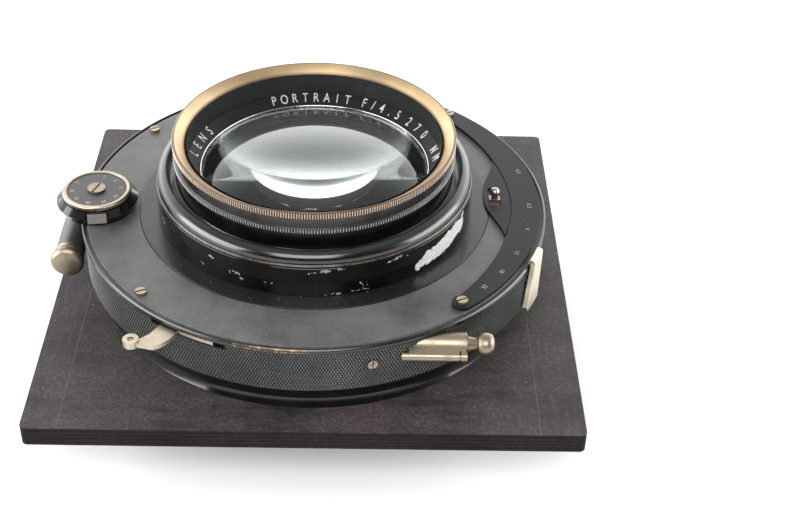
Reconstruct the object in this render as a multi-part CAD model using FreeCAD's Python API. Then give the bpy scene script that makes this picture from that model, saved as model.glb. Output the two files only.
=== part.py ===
# A large-format portrait lens of 270 mm focal length and f/4.5 in a dial-set between-lens
# shutter with an air brake, mounted on a square wooden lens board.
#
# Frame: the origin is on the lens axis in the plane of the rear rim, on which the lens stands.
# +Z points out of the front glass, -Y towards the release levers, +X towards the pointer.
import FreeCAD, Part
import math
import os

V = FreeCAD.Vector
UP = V(0, 0, 1)
ALONG_X = V(1, 0, 0)
ALONG_Y = V(0, 1, 0)

# ---------------------------------------------------------------- driving dimensions, in mm
# Heights of the main planes
REAR_DROP = 18.0            # rear rim to the back face of the board
BOARD_T = 5.5               # thickness of the board
BOARD = REAR_DROP + BOARD_T  # front face of the board
CASE_TOP = BOARD + 8.7      # top of the smooth lower casing, foot of the knurled drum
FACE = BOARD + 22.2         # front surface of the shutter's face plate
BARREL_TOP = BOARD + 31.0   # top of the enamelled front barrel
RIM_TOP = BOARD + 44.3      # highest point of the front rim

# Radii about the lens axis
CLEAR_R = 32.0              # clear opening of the shutter
CASE_R = 58.2               # smooth lower casing
CASE_BORE = 57.4
DRUM_R = 62.5               # knurled drum
DRUM_BORE = 59.7
LIP_R = 63.1                # smooth lip at the drum's top
BARREL_R = 42.6             # enamelled front barrel
RIM_R = 37.65               # knurled edge of the front rim
FILTER_R = 33.9             # bore inside the front rim
CELL_R = 34.0               # outside of both lens cells
CELL_BORE = 31.3
REAR_RIM_R = 35.4
REAR_RIM_LEN = 4.0

# Lens board
BOARD_W = 140.0             # across, X
BOARD_D = 138.4             # front to back, Y
BOARD_X = -0.4              # centre of the board from the lens axis
BOARD_Y = 1.2
CLEAT_LEFT = 9.1            # width of the left end strip, which keeps the panel flat
CLEAT_RIGHT = 11.5          # width of the right one
CORNER_R = 1.6
SLEEVE_R = 38.0             # shutter sleeve through the board

# Running clearances
RUN = 0.06                  # radial clearance of every turning fit
GAP = 0.15                  # clearance between faces that slide past each other
FINE = 0.05

# Iris
IRIS_BLADES = 8
IRIS_RING_TURN = -36.0      # aperture ring from wide open to the smallest stop, degrees
IRIS_BLADE_TURN = 30.0      # swing of one blade over the same movement
IRIS = dict(count=IRIS_BLADES, r_in=32.4, r_out=48.7, span=124.0, pivot_r=51.2, arm=3.2,
            first_z=BOARD + 3.0, pitch=0.55, thick=0.2, turn=IRIS_BLADE_TURN,
            ring_turn=IRIS_RING_TURN, ring_z=BOARD + 8.3, ring_t=1.1, ring_in=48.9,
            ring_out=54.3, post_foot=BOARD + 2.2)

# Shutter blades, at rest held open as for focusing
SHUTTER_BLADES = 5
SHUTTER_RING_TURN = -14.0
SHUTTER_BLADE_TURN = 35.5
SHUTTER = dict(count=SHUTTER_BLADES, r_in=32.6, r_out=52.4, span=126.0, pivot_r=54.3, arm=2.2,
               first_z=BOARD + 10.8, pitch=0.45, thick=0.2, turn=SHUTTER_BLADE_TURN,
               ring_turn=SHUTTER_RING_TURN, ring_z=BOARD + 13.0, ring_t=0.8, ring_in=51.6,
               ring_out=56.4, post_foot=BOARD + 10.5)
POST_R = 0.8                # blade pivot posts
PIN_R = 0.5                 # cam pins on the blades
EAR_R = 1.7                 # rounded ear round a blade's pivot

DRIVE_PIN_R = 53.0          # pin of the shutter drive ring
DRIVE_PIN_ANGLE = -100.0

# Plates inside the shutter
BACK_PLATE_T = 2.2
MID_PLATE_Z = BOARD + 9.7
MID_PLATE_T = 0.8
UPPER_PLATE_Z = BOARD + 14.1
UPPER_PLATE_T = 1.0
FACE_T = 1.6
PLATE_R = DRUM_BORE - 0.1
HUB_R = 36.9                # front sleeve on which the aperture ring turns

# Aperture control
APERTURE_RING_R = 47.6
APERTURE_RING_T = 1.6
RING_TOP = FACE + 0.2
POINTER_ANGLE = 2.0         # middle of the pointer tongue at rest, degrees from +X
POINTER_EDGE = ((53.3, -19.3), (50.2, -13.4), (47.2, -7.0), (46.2, 0.0), (47.2, 7.0),
                (50.2, 13.4), (53.3, 19.3))  # inner edge of the tongue: radius, angle
POINTER_R_OUT = 53.5
WINDOW_IN = 47.8            # window in the tongue
WINDOW_OUT = 50.9
WINDOW_HALF = 5.0
LINK_ANGLE = 110.0          # arm that carries the ring's movement to the iris
LINK_R_IN = 56.5
LINK_R_OUT = 57.2
SCALE_R_OUT = 61.5
SCALE_EDGE = ((56.9, -49.4), (55.6, -41.0), (54.6, -31.0), (53.9, -20.0), (53.75, 0.0),
              (53.9, 20.0), (54.6, 31.0), (55.6, 41.0), (56.9, 49.4))  # inner edge
SCALE_T = 1.0

# Speed dial
DIAL_X = -58.7
DIAL_Y = -3.8
DIAL_R = 9.15
DIAL_BASE_R = 10.9
DIAL_TOP = FACE + 5.3
DIAL_RIM_T = 1.3
DIAL_POST_R = 1.4
INDEX_W = 5.0               # bright pad in the front of the dial's housing
INDEX_SEAT = 9.0
INDEX_TURN = 8.0
INDEX_Z = 1.1                # its foot, above the face plate
DIAL_EDGE_Z = 2.3            # widest edge of the housing, above the face plate

# Air brake at the drum's left side
BRAKE_X = -65.6
BRAKE_Z = BOARD + 13.5
BRAKE_TUBE_R = 3.8
BRAKE_BORE = 3.1
BRAKE_FRONT = -14.6
BRAKE_BACK = 11.5
BRAKE_STROKE = 12.2
BRAKE_FORK_R = 58.1         # where the fork of the cocking ring holds the piston's pin
FORK_ANGLE = 174.0          # the fork's angle with the shutter uncocked
PISTON_Y = BRAKE_FORK_R * math.sin(math.radians(FORK_ANGLE))
PISTON_PIN_R = 0.7

# Cocking lever and its ring
COCK_ANGLE = -22.0
COCK_RING_Z = BOARD + 16.2
COCK_RING_T = 1.2
COCK_RING_IN = HUB_R + RUN
COCK_RING_OUT = 43.0
LEVER_IN = LIP_R + 0.4      # inner face of the cocking lever's blade
LEVER_T = 1.1
CURL_R = 0.95               # rolled top end of the blade

# Release lever and the cable socket
RELEASE_Z = BOARD + 19.1
RELEASE_T = 1.2
RELEASE_PIVOT = V(-24.0, -46.0, 0)
EYELET_AT_R = 71.8
EYELET_ANGLE = -126.4
EYELET_R = 2.0
EYELET_BORE = 0.82
SOCKET_Y = -54.2
SOCKET_Z = BOARD + 17.6
SOCKET_R = 2.9
SOCKET_END = 39.3
GUIDE_R = 1.25
GUIDE_START = 23.3
GUIDE_Y = -58.0
GUIDE_Z = BOARD + 16.6
PLUNGER_R = 1.0

# Screws
FACE_SCREW_R = 59.4
FACE_SCREW_ANGLES = (144.4, -135.1)
SCALE_SCREW_R = 58.9
SCALE_SCREW_ANGLES = (-49.4, 49.4)
SIDE_SCREW_ANGLE = -75.1
SIDE_SCREW_Z = BOARD + 16.2
SIDE_HEAD_R = 1.25
SIDE_HEAD_T = 0.7
SIDE_SLOT_W = 0.4
SCREW_HEAD_R = 1.45
SCREW_SHANK_R = 0.9
BOSS_R = 1.85

# Glass: radii of curvature, centre thickness and edge radius
CONVEX_STRONG = 85.0
CONVEX_WEAK = 200.0
CONVEX_T = 11.0
CONCAVE_WEAK = 180.0
CONCAVE_STRONG = 140.0
CONCAVE_T = 3.0
GLASS_R = 31.2
SPACER_T = 1.0
SPACER_IN = 29.0
SEAT_IN = 29.3
FRONT_EDGE_Z = BOARD + 33.27   # front edge of the front glass
REAR_EDGE_Z = 11.33            # rear edge of the rear glass


# ---------------------------------------------------------------- helpers
def polar(radius, degrees, z=0.0):
    a = math.radians(degrees)
    return V(radius * math.cos(a), radius * math.sin(a), z)


def disc(radius, z0, z1, x=0.0, y=0.0):
    return Part.makeCylinder(radius, z1 - z0, V(x, y, z0), UP)


def ring(r_in, r_out, z0, z1):
    return disc(r_out, z0, z1).cut(disc(r_in, z0 - 1, z1 + 1))


def rod(radius, start, direction, length):
    return Part.makeCylinder(radius, length, start, direction)


def sector(r_in, r_out, z0, z1, a0, a1):
    """Part of a flat ring between two angles in degrees."""
    pie = Part.makeCylinder(r_out, z1 - z0, V(0, 0, z0), UP, a1 - a0)
    pie.rotate(V(0, 0, 0), UP, a0)
    return pie.cut(disc(r_in, z0 - 1, z1 + 1))


def arc_slot(radius, half_width, z0, z1, a0, a1):
    """Curved slot with round ends, to be cut from a ring."""
    slot = sector(radius - half_width, radius + half_width, z0, z1, a0, a1)
    for a in (a0, a1):
        end = polar(radius, a)
        slot = slot.fuse(disc(half_width, z0, z1, end.x, end.y))
    return slot


def spin(points):
    """Solid of revolution about the lens axis from (radius, height) corners."""
    wire = Part.makePolygon([V(r, 0, z) for r, z in points] + [V(points[0][0], 0, points[0][1])])
    return Part.Face(wire).revolve(V(0, 0, 0), UP, 360)


def bar(start, end, width, z0, z1):
    """Straight flat bar between two points, with round ends."""
    run = end - start
    length = math.hypot(run.x, run.y)
    body = Part.makeBox(length, width, z1 - z0, V(0, -width / 2, z0))
    body.rotate(V(0, 0, 0), UP, math.degrees(math.atan2(run.y, run.x)))
    body.translate(V(start.x, start.y, 0))
    for p in (start, end):
        body = body.fuse(disc(width / 2, z0, z1, p.x, p.y))
    return body


def union(shapes):
    whole = shapes[0]
    for s in shapes[1:]:
        whole = whole.fuse(s)
    return whole.removeSplitter()


def turned(shape, degrees):
    copy = shape.copy()
    copy.rotate(V(0, 0, 0), UP, degrees)
    return copy


def save(name, shape):
    if isinstance(shape, (list, tuple)):
        shape = Part.makeCompound(list(shape))
    shape.exportStep("parts/%s.step" % name)


# ---------------------------------------------------------------- lens board
def board_blank():
    blank = Part.makeBox(BOARD_W, BOARD_D, BOARD_T,
                         V(BOARD_X - BOARD_W / 2, BOARD_Y - BOARD_D / 2, REAR_DROP))
    corners = [e for e in blank.Edges if abs(e.tangentAt(0).z) > 0.9]
    return blank.makeFillet(CORNER_R, corners)


def board_pieces():
    """Panel with tongues at both ends, and the two cross-grained cleats that hold it flat."""
    tongue, tongue_t = 2.4, 1.8
    mid = REAR_DROP + BOARD_T / 2
    left = BOARD_X - BOARD_W / 2 + CLEAT_LEFT
    width = BOARD_W - CLEAT_LEFT - CLEAT_RIGHT
    front = BOARD_Y - BOARD_D / 2 - 1
    inner = Part.makeBox(width, BOARD_D + 2, BOARD_T + 2, V(left, front, REAR_DROP - 1))
    key = Part.makeBox(width + 2 * tongue, BOARD_D + 2, tongue_t,
                       V(left - tongue, front, mid - tongue_t / 2))
    keep = inner.fuse(key)
    blank = board_blank()
    panel = blank.common(keep).removeSplitter()
    panel = panel.cut(disc(SLEEVE_R + GAP, REAR_DROP - 1, BOARD + 1))
    cleats = blank.cut(keep)
    return panel, cleats


# ---------------------------------------------------------------- glass
def sag(curve_r, edge_r):
    return curve_r - math.sqrt(curve_r ** 2 - edge_r ** 2)


def lens(edge_r, lower, upper, z_low, z_high):
    """Lens element. lower and upper are radii of curvature, positive where the face bulges.

    z_low and z_high are the heights of the two faces on the axis.
    """
    low_edge = z_low + math.copysign(sag(abs(lower), edge_r), lower)
    high_edge = z_high - math.copysign(sag(abs(upper), edge_r), upper)
    half = edge_r / 2
    low_mid = z_low + math.copysign(sag(abs(lower), half), lower)
    high_mid = z_high - math.copysign(sag(abs(upper), half), upper)
    edges = [
        Part.LineSegment(V(0, 0, z_high), V(0, 0, z_low)).toShape(),
        Part.Arc(V(0, 0, z_low), V(half, 0, low_mid), V(edge_r, 0, low_edge)).toShape(),
        Part.LineSegment(V(edge_r, 0, low_edge), V(edge_r, 0, high_edge)).toShape(),
        Part.Arc(V(edge_r, 0, high_edge), V(half, 0, high_mid), V(0, 0, z_high)).toShape(),
    ]
    return Part.Face(Part.Wire(edges)).revolve(V(0, 0, 0), UP, 360)


def glass():
    front_top = FRONT_EDGE_Z + sag(CONVEX_STRONG, GLASS_R)
    front_low = front_top - CONVEX_T
    front = lens(GLASS_R, CONVEX_WEAK, CONVEX_STRONG, front_low, front_top)
    spacer_top = front_low + sag(CONVEX_WEAK, GLASS_R)
    inner_top = spacer_top - SPACER_T - sag(CONCAVE_WEAK, GLASS_R)
    front_inner = lens(GLASS_R, -CONCAVE_STRONG, -CONCAVE_WEAK, inner_top - CONCAVE_T, inner_top)

    rear_low = REAR_EDGE_Z - sag(CONVEX_STRONG, GLASS_R)
    rear_top = rear_low + CONVEX_T
    rear = lens(GLASS_R, CONVEX_STRONG, CONVEX_WEAK, rear_low, rear_top)
    spacer_low = rear_top - sag(CONVEX_WEAK, GLASS_R)
    inner_low = spacer_low + SPACER_T + sag(CONCAVE_WEAK, GLASS_R)
    rear_inner = lens(GLASS_R, -CONCAVE_WEAK, -CONCAVE_STRONG, inner_low, inner_low + CONCAVE_T)
    return front, front_inner, rear_inner, rear, spacer_top, spacer_low


# ---------------------------------------------------------------- lens cells and front fittings
def front_cell(seat):
    """Front lens cell: threaded tube below, moulded flange in the middle, neck above."""
    foot = seat - 1.2
    flange = BARREL_TOP
    neck_r = 36.9
    name_seat = FRONT_EDGE_Z + 0.05
    outline = [
        V(SEAT_IN, 0, foot), V(CELL_R, 0, foot), V(CELL_R, 0, flange), V(42.5, 0, flange),
        V(42.5, 0, flange + 0.75), V(42.1, 0, flange + 1.0), V(42.25, 0, flange + 1.25),
        V(42.25, 0, flange + 1.7), V(41.9, 0, flange + 1.9),
    ]
    round_end = V(38.4, 0, flange + 4.2)
    round_mid = V(40.9, 0, flange + 3.45)
    inside = [
        round_end, V(neck_r, 0, flange + 4.3), V(neck_r, 0, RIM_TOP - 1.9), V(35.95, 0, RIM_TOP - 1.9),
        V(35.95, 0, name_seat), V(CELL_BORE, 0, name_seat), V(CELL_BORE, 0, seat), V(SEAT_IN, 0, seat),
        V(SEAT_IN, 0, foot),
    ]
    edges = [Part.LineSegment(a, b).toShape() for a, b in zip(outline, outline[1:])]
    edges.append(Part.Arc(outline[-1], round_mid, round_end).toShape())
    edges += [Part.LineSegment(a, b).toShape() for a, b in zip(inside, inside[1:])]
    return Part.Face(Part.Wire(edges)).revolve(V(0, 0, 0), UP, 360)


def front_barrel():
    """Enamelled aluminium barrel that screws on the shutter's hub and carries the cell."""
    foot = RING_TOP + FINE
    body = ring(HUB_R, BARREL_R, foot, BARREL_TOP)
    step = ring(CELL_R + FINE, HUB_R, BARREL_TOP - 4.0, BARREL_TOP)
    return body.fuse(step).removeSplitter()


def knurled_collar():
    return spin([(36.9, BOARD + 38.0), (37.6, BOARD + 38.0), (37.6, BOARD + 40.0),
                 (37.2, BOARD + 40.1), (37.2, RIM_TOP - 1.9), (36.9, RIM_TOP - 1.9)])


def front_rim():
    """Front ring: knurled edge, bevel sloping in to the bore, and a threaded skirt."""
    top, bevel_low = RIM_TOP, RIM_TOP - 1.9
    skirt_low = BOARD + 36.5
    return spin([(FILTER_R, skirt_low), (35.9, skirt_low), (35.9, bevel_low),
                 (RIM_R, bevel_low), (RIM_R, top - 0.35), (RIM_R - 0.25, top),
                 (RIM_R - 0.7, top), (FILTER_R, bevel_low)])


def name_ring():
    """Sloping ring that locks the front glass, with a polished inner bevel."""
    low = FRONT_EDGE_Z + 0.1
    return spin([(30.6, low + 0.27), (31.3, low), (35.9, low), (35.9, BOARD + 36.4), (FILTER_R, BOARD + 36.4),
                 (31.3, BOARD + 34.3), (30.6, BOARD + 33.8)])


def rear_cell(seat):
    """Rear lens cell: tube with a seat for the inner element and a slip-on rim at the back."""
    lip_top = seat + 0.9
    return spin([(CELL_BORE, 0), (REAR_RIM_R, 0), (REAR_RIM_R, REAR_RIM_LEN), (CELL_R, REAR_RIM_LEN),
                 (CELL_R, lip_top), (SEAT_IN, lip_top), (SEAT_IN, seat), (CELL_BORE, seat)])


def spacer(flat_z, glass_z):
    """Spacer ring between two glasses; the face towards the convex glass is bevelled."""
    bevel = sag(CONVEX_WEAK, GLASS_R) - sag(CONVEX_WEAK, SPACER_IN) + 0.02
    inner = glass_z - math.copysign(bevel, glass_z - flat_z)
    outer_r = CELL_BORE - FINE
    return spin([(SPACER_IN, flat_z), (outer_r, flat_z), (outer_r, glass_z), (SPACER_IN, inner)])


def rear_retainer():
    return spin([(29.8, REAR_EDGE_Z - 5.0), (CELL_BORE - FINE, REAR_EDGE_Z - 5.0),
                 (CELL_BORE - FINE, REAR_EDGE_Z - FINE), (30.4, REAR_EDGE_Z - FINE)])


# ---------------------------------------------------------------- blades, rings and posts
def cam_start(group):
    """Direction of the cam pin from its pivot with the blades open, in degrees."""
    return -90.0 - group["turn"] / 2


def cam_pin(group, blade_turn):
    """Cam pin of the blade whose pivot is on +X, after the blade has swung."""
    return V(group["pivot_r"], 0, 0) + polar(group["arm"], cam_start(group) + blade_turn)


def blade(group, index):
    """One blade: a flat crescent on its own level, an ear with the pivot hole, and a cam pin."""
    z0 = group["first_z"] + group["pitch"] * index
    z1 = z0 + group["thick"]
    pivot = V(group["pivot_r"], 0, 0)
    pin = cam_pin(group, 0)
    crescent = sector(group["r_in"], group["r_out"], z0, z1, 0, group["span"])
    neck = bar(V(group["r_out"] - EAR_R, EAR_R, 0), pivot, 2 * EAR_R, z0, z1)
    arm = bar(pivot, pin, 2 * PIN_R + 1.2, z0, z1)
    body = crescent.fuse(neck).fuse(arm)
    body = body.cut(disc(POST_R + RUN, z0 - 1, z1 + 1, pivot.x, pivot.y))
    cam_top = group["ring_z"] + group["ring_t"] - 0.1
    body = body.fuse(disc(PIN_R, z0, cam_top, pin.x, pin.y)).removeSplitter()
    return turned(body, 360.0 / group["count"] * index)


def posts(group):
    """Fixed pivot posts, each reaching just above its own blade."""
    made = []
    for i in range(group["count"]):
        p = polar(group["pivot_r"], 360.0 / group["count"] * i)
        top = group["first_z"] + group["pitch"] * i + group["thick"] + 0.1
        made.append(disc(POST_R, group["post_foot"] - 0.2, top, p.x, p.y))
    return made


def cam_slot(group):
    """Slot that the cam pin of the first blade follows while the ring turns."""
    steps = 12
    width = PIN_R + 0.18
    over = 0.03
    centres = []
    for k in range(steps + 1):
        t = -over + (1 + 2 * over) * k / steps
        p = cam_pin(group, group["turn"] * t)
        a = math.radians(-group["ring_turn"] * t)
        centres.append(V(p.x * math.cos(a) - p.y * math.sin(a), p.x * math.sin(a) + p.y * math.cos(a), 0))
    left, right = [], []
    for k, c in enumerate(centres):
        along = centres[min(k + 1, steps)] - centres[max(k - 1, 0)]
        side = V(-along.y, along.x, 0).normalize() * width
        left.append(c + side)
        right.append(c - side)
    first = (centres[0] - centres[1]).normalize() * width
    last = (centres[-1] - centres[-2]).normalize() * width
    side_a, side_b = Part.BSplineCurve(), Part.BSplineCurve()
    side_a.interpolate(left)
    side_b.interpolate(right[::-1])
    wire = Part.Wire([side_a.toShape(),
                      Part.Arc(left[-1], centres[-1] + last, right[-1]).toShape(),
                      side_b.toShape(),
                      Part.Arc(right[0], centres[0] + first, left[0]).toShape()])
    slot = Part.Face(wire).extrude(V(0, 0, group["ring_t"] + 2))
    slot.translate(V(0, 0, group["ring_z"] - 1))
    return slot


def slotted_ring(group):
    body = ring(group["ring_in"], group["ring_out"], group["ring_z"], group["ring_z"] + group["ring_t"])
    slot = cam_slot(group)
    for i in range(group["count"]):
        body = body.cut(turned(slot, 360.0 / group["count"] * i))
    return body


# ---------------------------------------------------------------- shutter casing
def shutter_back():
    """Back casting: floor, smooth outer wall, sleeve through the board and iris posts."""
    floor_top = BOARD + BACK_PLATE_T
    sleeve_end = REAR_DROP - 4.6
    edge = 1.3
    shell = spin([(CELL_R + FINE, sleeve_end), (SLEEVE_R, sleeve_end), (SLEEVE_R, BOARD),
                  (CASE_R - edge, BOARD), (CASE_R - 0.4, BOARD + 0.4), (CASE_R, BOARD + edge),
                  (CASE_R, CASE_TOP), (CASE_BORE, CASE_TOP), (CASE_BORE, floor_top),
                  (CELL_R + FINE, floor_top)])
    return union([shell] + posts(IRIS))


def retaining_ring():
    """Threaded ring that clamps the board from behind, with four spanner notches."""
    low = REAR_DROP - 3.4
    body = ring(SLEEVE_R, 47.0, low, REAR_DROP)
    for k in range(4):
        notch = Part.makeBox(4.0, 3.0, 1.6, V(44.0, -1.5, low - 0.1))
        body = body.cut(turned(notch, 90 * k + 45))
    return body


def screw_spots():
    spots = [polar(FACE_SCREW_R, a) for a in FACE_SCREW_ANGLES]
    return spots + [polar(SCALE_SCREW_R, a) for a in SCALE_SCREW_ANGLES]


def drum_side_hole():
    """Tapped hole for the small screw in the side of the drum."""
    start = polar(DRUM_R - 3.5, SIDE_SCREW_ANGLE, SIDE_SCREW_Z)
    return rod(SCREW_SHANK_R, start, polar(1, SIDE_SCREW_ANGLE), 6)


def drum():
    """Knurled drum: wall, inner foot flange, top lip with a rabbet, slots and screw bosses."""
    wall = spin([(CASE_BORE, CASE_TOP), (DRUM_R, CASE_TOP), (DRUM_R, FACE - 1.5), (LIP_R, FACE - 1.4),
                 (LIP_R, FACE - 0.5), (LIP_R - 0.5, FACE), (62.3, FACE), (62.3, FACE - FACE_T),
                 (DRUM_BORE, FACE - FACE_T), (DRUM_BORE, MID_PLATE_Z), (CASE_BORE, MID_PLATE_Z)])
    bosses = []
    for p in screw_spots():
        bosses.append(disc(BOSS_R, UPPER_PLATE_Z + UPPER_PLATE_T, FACE - FACE_T, p.x, p.y))
    body = union([wall] + bosses)
    for p in screw_spots():
        body = body.cut(disc(SCREW_SHANK_R, UPPER_PLATE_Z + 2.5, FACE, p.x, p.y))
    release_slot = sector(55, 65, RELEASE_Z - GAP, RELEASE_Z + RELEASE_T + GAP, -128, -108.4)
    cock_slot = sector(57, 65, COCK_RING_Z - GAP, COCK_RING_Z + COCK_RING_T + GAP, -27.5, -4.5)
    seat = rod(BRAKE_TUBE_R + FINE, V(BRAKE_X, -40, BRAKE_Z), ALONG_Y, 80)
    pin_slot = Part.makeBox(8, BRAKE_STROKE + 2.4, 2.0,
                            V(-66, PISTON_Y - BRAKE_STROKE - 1.2, BRAKE_Z - 1.0))
    plunger_hole = rod(PLUNGER_R + RUN, V(20, SOCKET_Y, SOCKET_Z), ALONG_X, 20)
    for tool in (release_slot, cock_slot, seat, pin_slot, plunger_hole, drum_side_hole()):
        body = body.cut(tool)
    return body


def mid_plate():
    """Plate between iris and shutter blades, with the shutter blades' pivot posts."""
    plate = ring(CLEAR_R, PLATE_R, MID_PLATE_Z, MID_PLATE_Z + MID_PLATE_T)
    plate = plate.cut(link_slot(MID_PLATE_Z, MID_PLATE_T))
    return union([plate, guide_collar(IRIS, MID_PLATE_Z)] + posts(SHUTTER))


def guide_collar(group, z1):
    """Collar under a plate, on which the cam ring of a set of blades turns."""
    outer = group["ring_in"] - RUN
    return ring(outer - 1.0, outer, group["ring_z"], z1)


def link_slot(z, thickness):
    mid = (LINK_R_IN + LINK_R_OUT) / 2
    return arc_slot(mid, 0.65, z - 1, z + thickness + 1, LINK_ANGLE + IRIS_RING_TURN - 2, LINK_ANGLE + 2)


def upper_plate():
    """Plate over the shutter blades with the front hub, the shelf and the release pivot."""
    top = UPPER_PLATE_Z + UPPER_PLATE_T
    shelf_top = RING_TOP - APERTURE_RING_T - FINE
    plate = ring(CLEAR_R, PLATE_R, UPPER_PLATE_Z, top)
    plate = plate.cut(link_slot(UPPER_PLATE_Z, UPPER_PLATE_T))
    plate = plate.cut(arc_slot(DRIVE_PIN_R, 1.0, UPPER_PLATE_Z - 1, top + 1,
                               DRIVE_PIN_ANGLE + SHUTTER_RING_TURN - 1, DRIVE_PIN_ANGLE + 1))
    plate = plate.cut(sector(56.0, PLATE_R + 1, UPPER_PLATE_Z - 1, top + 1,
                             FORK_ANGLE - 6, FORK_ANGLE + 18))
    hub = ring(CELL_R + FINE, HUB_R, UPPER_PLATE_Z, BARREL_TOP - 4.0 - FINE)
    shelf = ring(CELL_R + FINE, 41.0, shelf_top - 1.2, shelf_top)
    pivot = disc(POST_R + 0.4, UPPER_PLATE_Z, RELEASE_Z + RELEASE_T, RELEASE_PIVOT.x, RELEASE_PIVOT.y)
    return union([plate, hub, shelf, pivot, guide_collar(SHUTTER, UPPER_PLATE_Z)])


def shutter_drive_ring():
    """Ring that turns all shutter blades, with a pin up into the mechanism space."""
    body = slotted_ring(SHUTTER)
    p = polar(DRIVE_PIN_R, DRIVE_PIN_ANGLE)
    pin = disc(0.8, SHUTTER["ring_z"], UPPER_PLATE_Z + UPPER_PLATE_T + 2.2, p.x, p.y)
    return body.fuse(pin).removeSplitter()


def iris_cam_ring():
    """Ring with a spiral slot for each iris blade and a tab out to the link."""
    tab = sector(IRIS["ring_out"] - 0.5, LINK_R_IN, IRIS["ring_z"], IRIS["ring_z"] + IRIS["ring_t"],
                 LINK_ANGLE - 2, LINK_ANGLE + 2)
    return union([slotted_ring(IRIS), tab])


def face_plate():
    """Flat front plate, set in the drum's rabbet, open in the middle for the aperture ring."""
    body = ring(APERTURE_RING_R + RUN, 62.25, FACE - FACE_T, FACE)
    for p in screw_spots():
        body = body.cut(disc(SCREW_SHANK_R, FACE - 3, FACE + 1, p.x, p.y))
    return body


def screw(base, z, head_t):
    """Cheese-head screw with a straight slot, standing on the surface at height z."""
    shank_low = UPPER_PLATE_Z + 3.5
    body = disc(SCREW_SHANK_R, shank_low, z + 0.1, base.x, base.y)
    head = disc(SCREW_HEAD_R, z, z + head_t, base.x, base.y)
    slot = Part.makeBox(4, 0.45, 0.5, V(base.x - 2, base.y - 0.225, z + head_t - 0.4))
    slot.rotate(base, UP, 25)
    return body.fuse(head).cut(slot).removeSplitter()


def face_screws():
    made = [screw(polar(FACE_SCREW_R, a), FACE, 0.8) for a in FACE_SCREW_ANGLES]
    made += [screw(polar(SCALE_SCREW_R, a), FACE + SCALE_T, 0.8) for a in SCALE_SCREW_ANGLES]
    return made


def side_screw():
    """Slotted screw in the side of the drum."""
    outward = polar(1, SIDE_SCREW_ANGLE)
    seat = polar(DRUM_R, SIDE_SCREW_ANGLE, SIDE_SCREW_Z)
    shank = rod(SCREW_SHANK_R, seat - outward * 2.6, outward, 2.7)
    head = rod(SIDE_HEAD_R, seat, outward, SIDE_HEAD_T).cut(disc(DRUM_R, FACE - 20, FACE))
    corner = V(SIDE_HEAD_T / 2, -SIDE_SLOT_W / 2, -2 * SIDE_HEAD_R)
    slot = Part.makeBox(SIDE_HEAD_T, SIDE_SLOT_W, 4 * SIDE_HEAD_R, corner)
    slot.rotate(V(0, 0, 0), UP, SIDE_SCREW_ANGLE)
    slot.translate(seat)
    return shank.fuse(head).cut(slot).removeSplitter()


# ---------------------------------------------------------------- aperture control
def aperture_ring():
    low = RING_TOP - APERTURE_RING_T
    return ring(HUB_R + RUN, APERTURE_RING_R, low, RING_TOP)


def aperture_pointer():
    """Tongue on the aperture ring: a bulge inwards round the window of the pointer knob."""
    edge = [polar(r, POINTER_ANGLE + a) for r, a in POINTER_EDGE]
    side = Part.BSplineCurve()
    side.interpolate(edge)
    first, last = POINTER_EDGE[0][1], POINTER_EDGE[-1][1]
    ends = [polar(POINTER_R_OUT, POINTER_ANGLE + a) for a in (last, 0, first)]
    wire = Part.Wire([side.toShape(), Part.LineSegment(edge[-1], ends[0]).toShape(),
                      Part.Arc(ends[0], ends[1], ends[2]).toShape(),
                      Part.LineSegment(ends[2], edge[0]).toShape()])
    body = Part.Face(wire).extrude(V(0, 0, FACE + SCALE_T - RING_TOP))
    body.translate(V(0, 0, RING_TOP))
    window = sector(WINDOW_IN, WINDOW_OUT, RING_TOP - 1, FACE + SCALE_T + 1,
                    POINTER_ANGLE - WINDOW_HALF, POINTER_ANGLE + WINDOW_HALF)
    return body.cut(window)


def pointer_knob():
    """Small round knob on a strip that bridges the pointer's window."""
    foot = polar((WINDOW_IN + WINDOW_OUT) / 2, POINTER_ANGLE)
    ball_z = FACE + 2.6
    strip = sector(WINDOW_IN, WINDOW_OUT, RING_TOP, RING_TOP + 0.5, POINTER_ANGLE - 1.2,
                   POINTER_ANGLE + 1.2)
    stem = disc(0.95, RING_TOP, ball_z, foot.x, foot.y)
    return union([strip, stem, Part.makeSphere(1.35, V(foot.x, foot.y, ball_z))])


def aperture_link():
    """Arm under the aperture ring and strip down the casing to the iris cam ring."""
    ring_low = RING_TOP - APERTURE_RING_T
    arm = sector(43.0, LINK_R_OUT, ring_low - 1.3, ring_low - 0.4, LINK_ANGLE - 2, LINK_ANGLE + 2)
    foot = sector(43.0, APERTURE_RING_R - 0.5, ring_low - 1.3, ring_low, LINK_ANGLE - 2, LINK_ANGLE + 2)
    strip = sector(LINK_R_IN, LINK_R_OUT, IRIS["ring_z"], ring_low - 0.4, LINK_ANGLE - 1.2,
                   LINK_ANGLE + 1.2)
    return union([arm, foot, strip])


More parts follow.
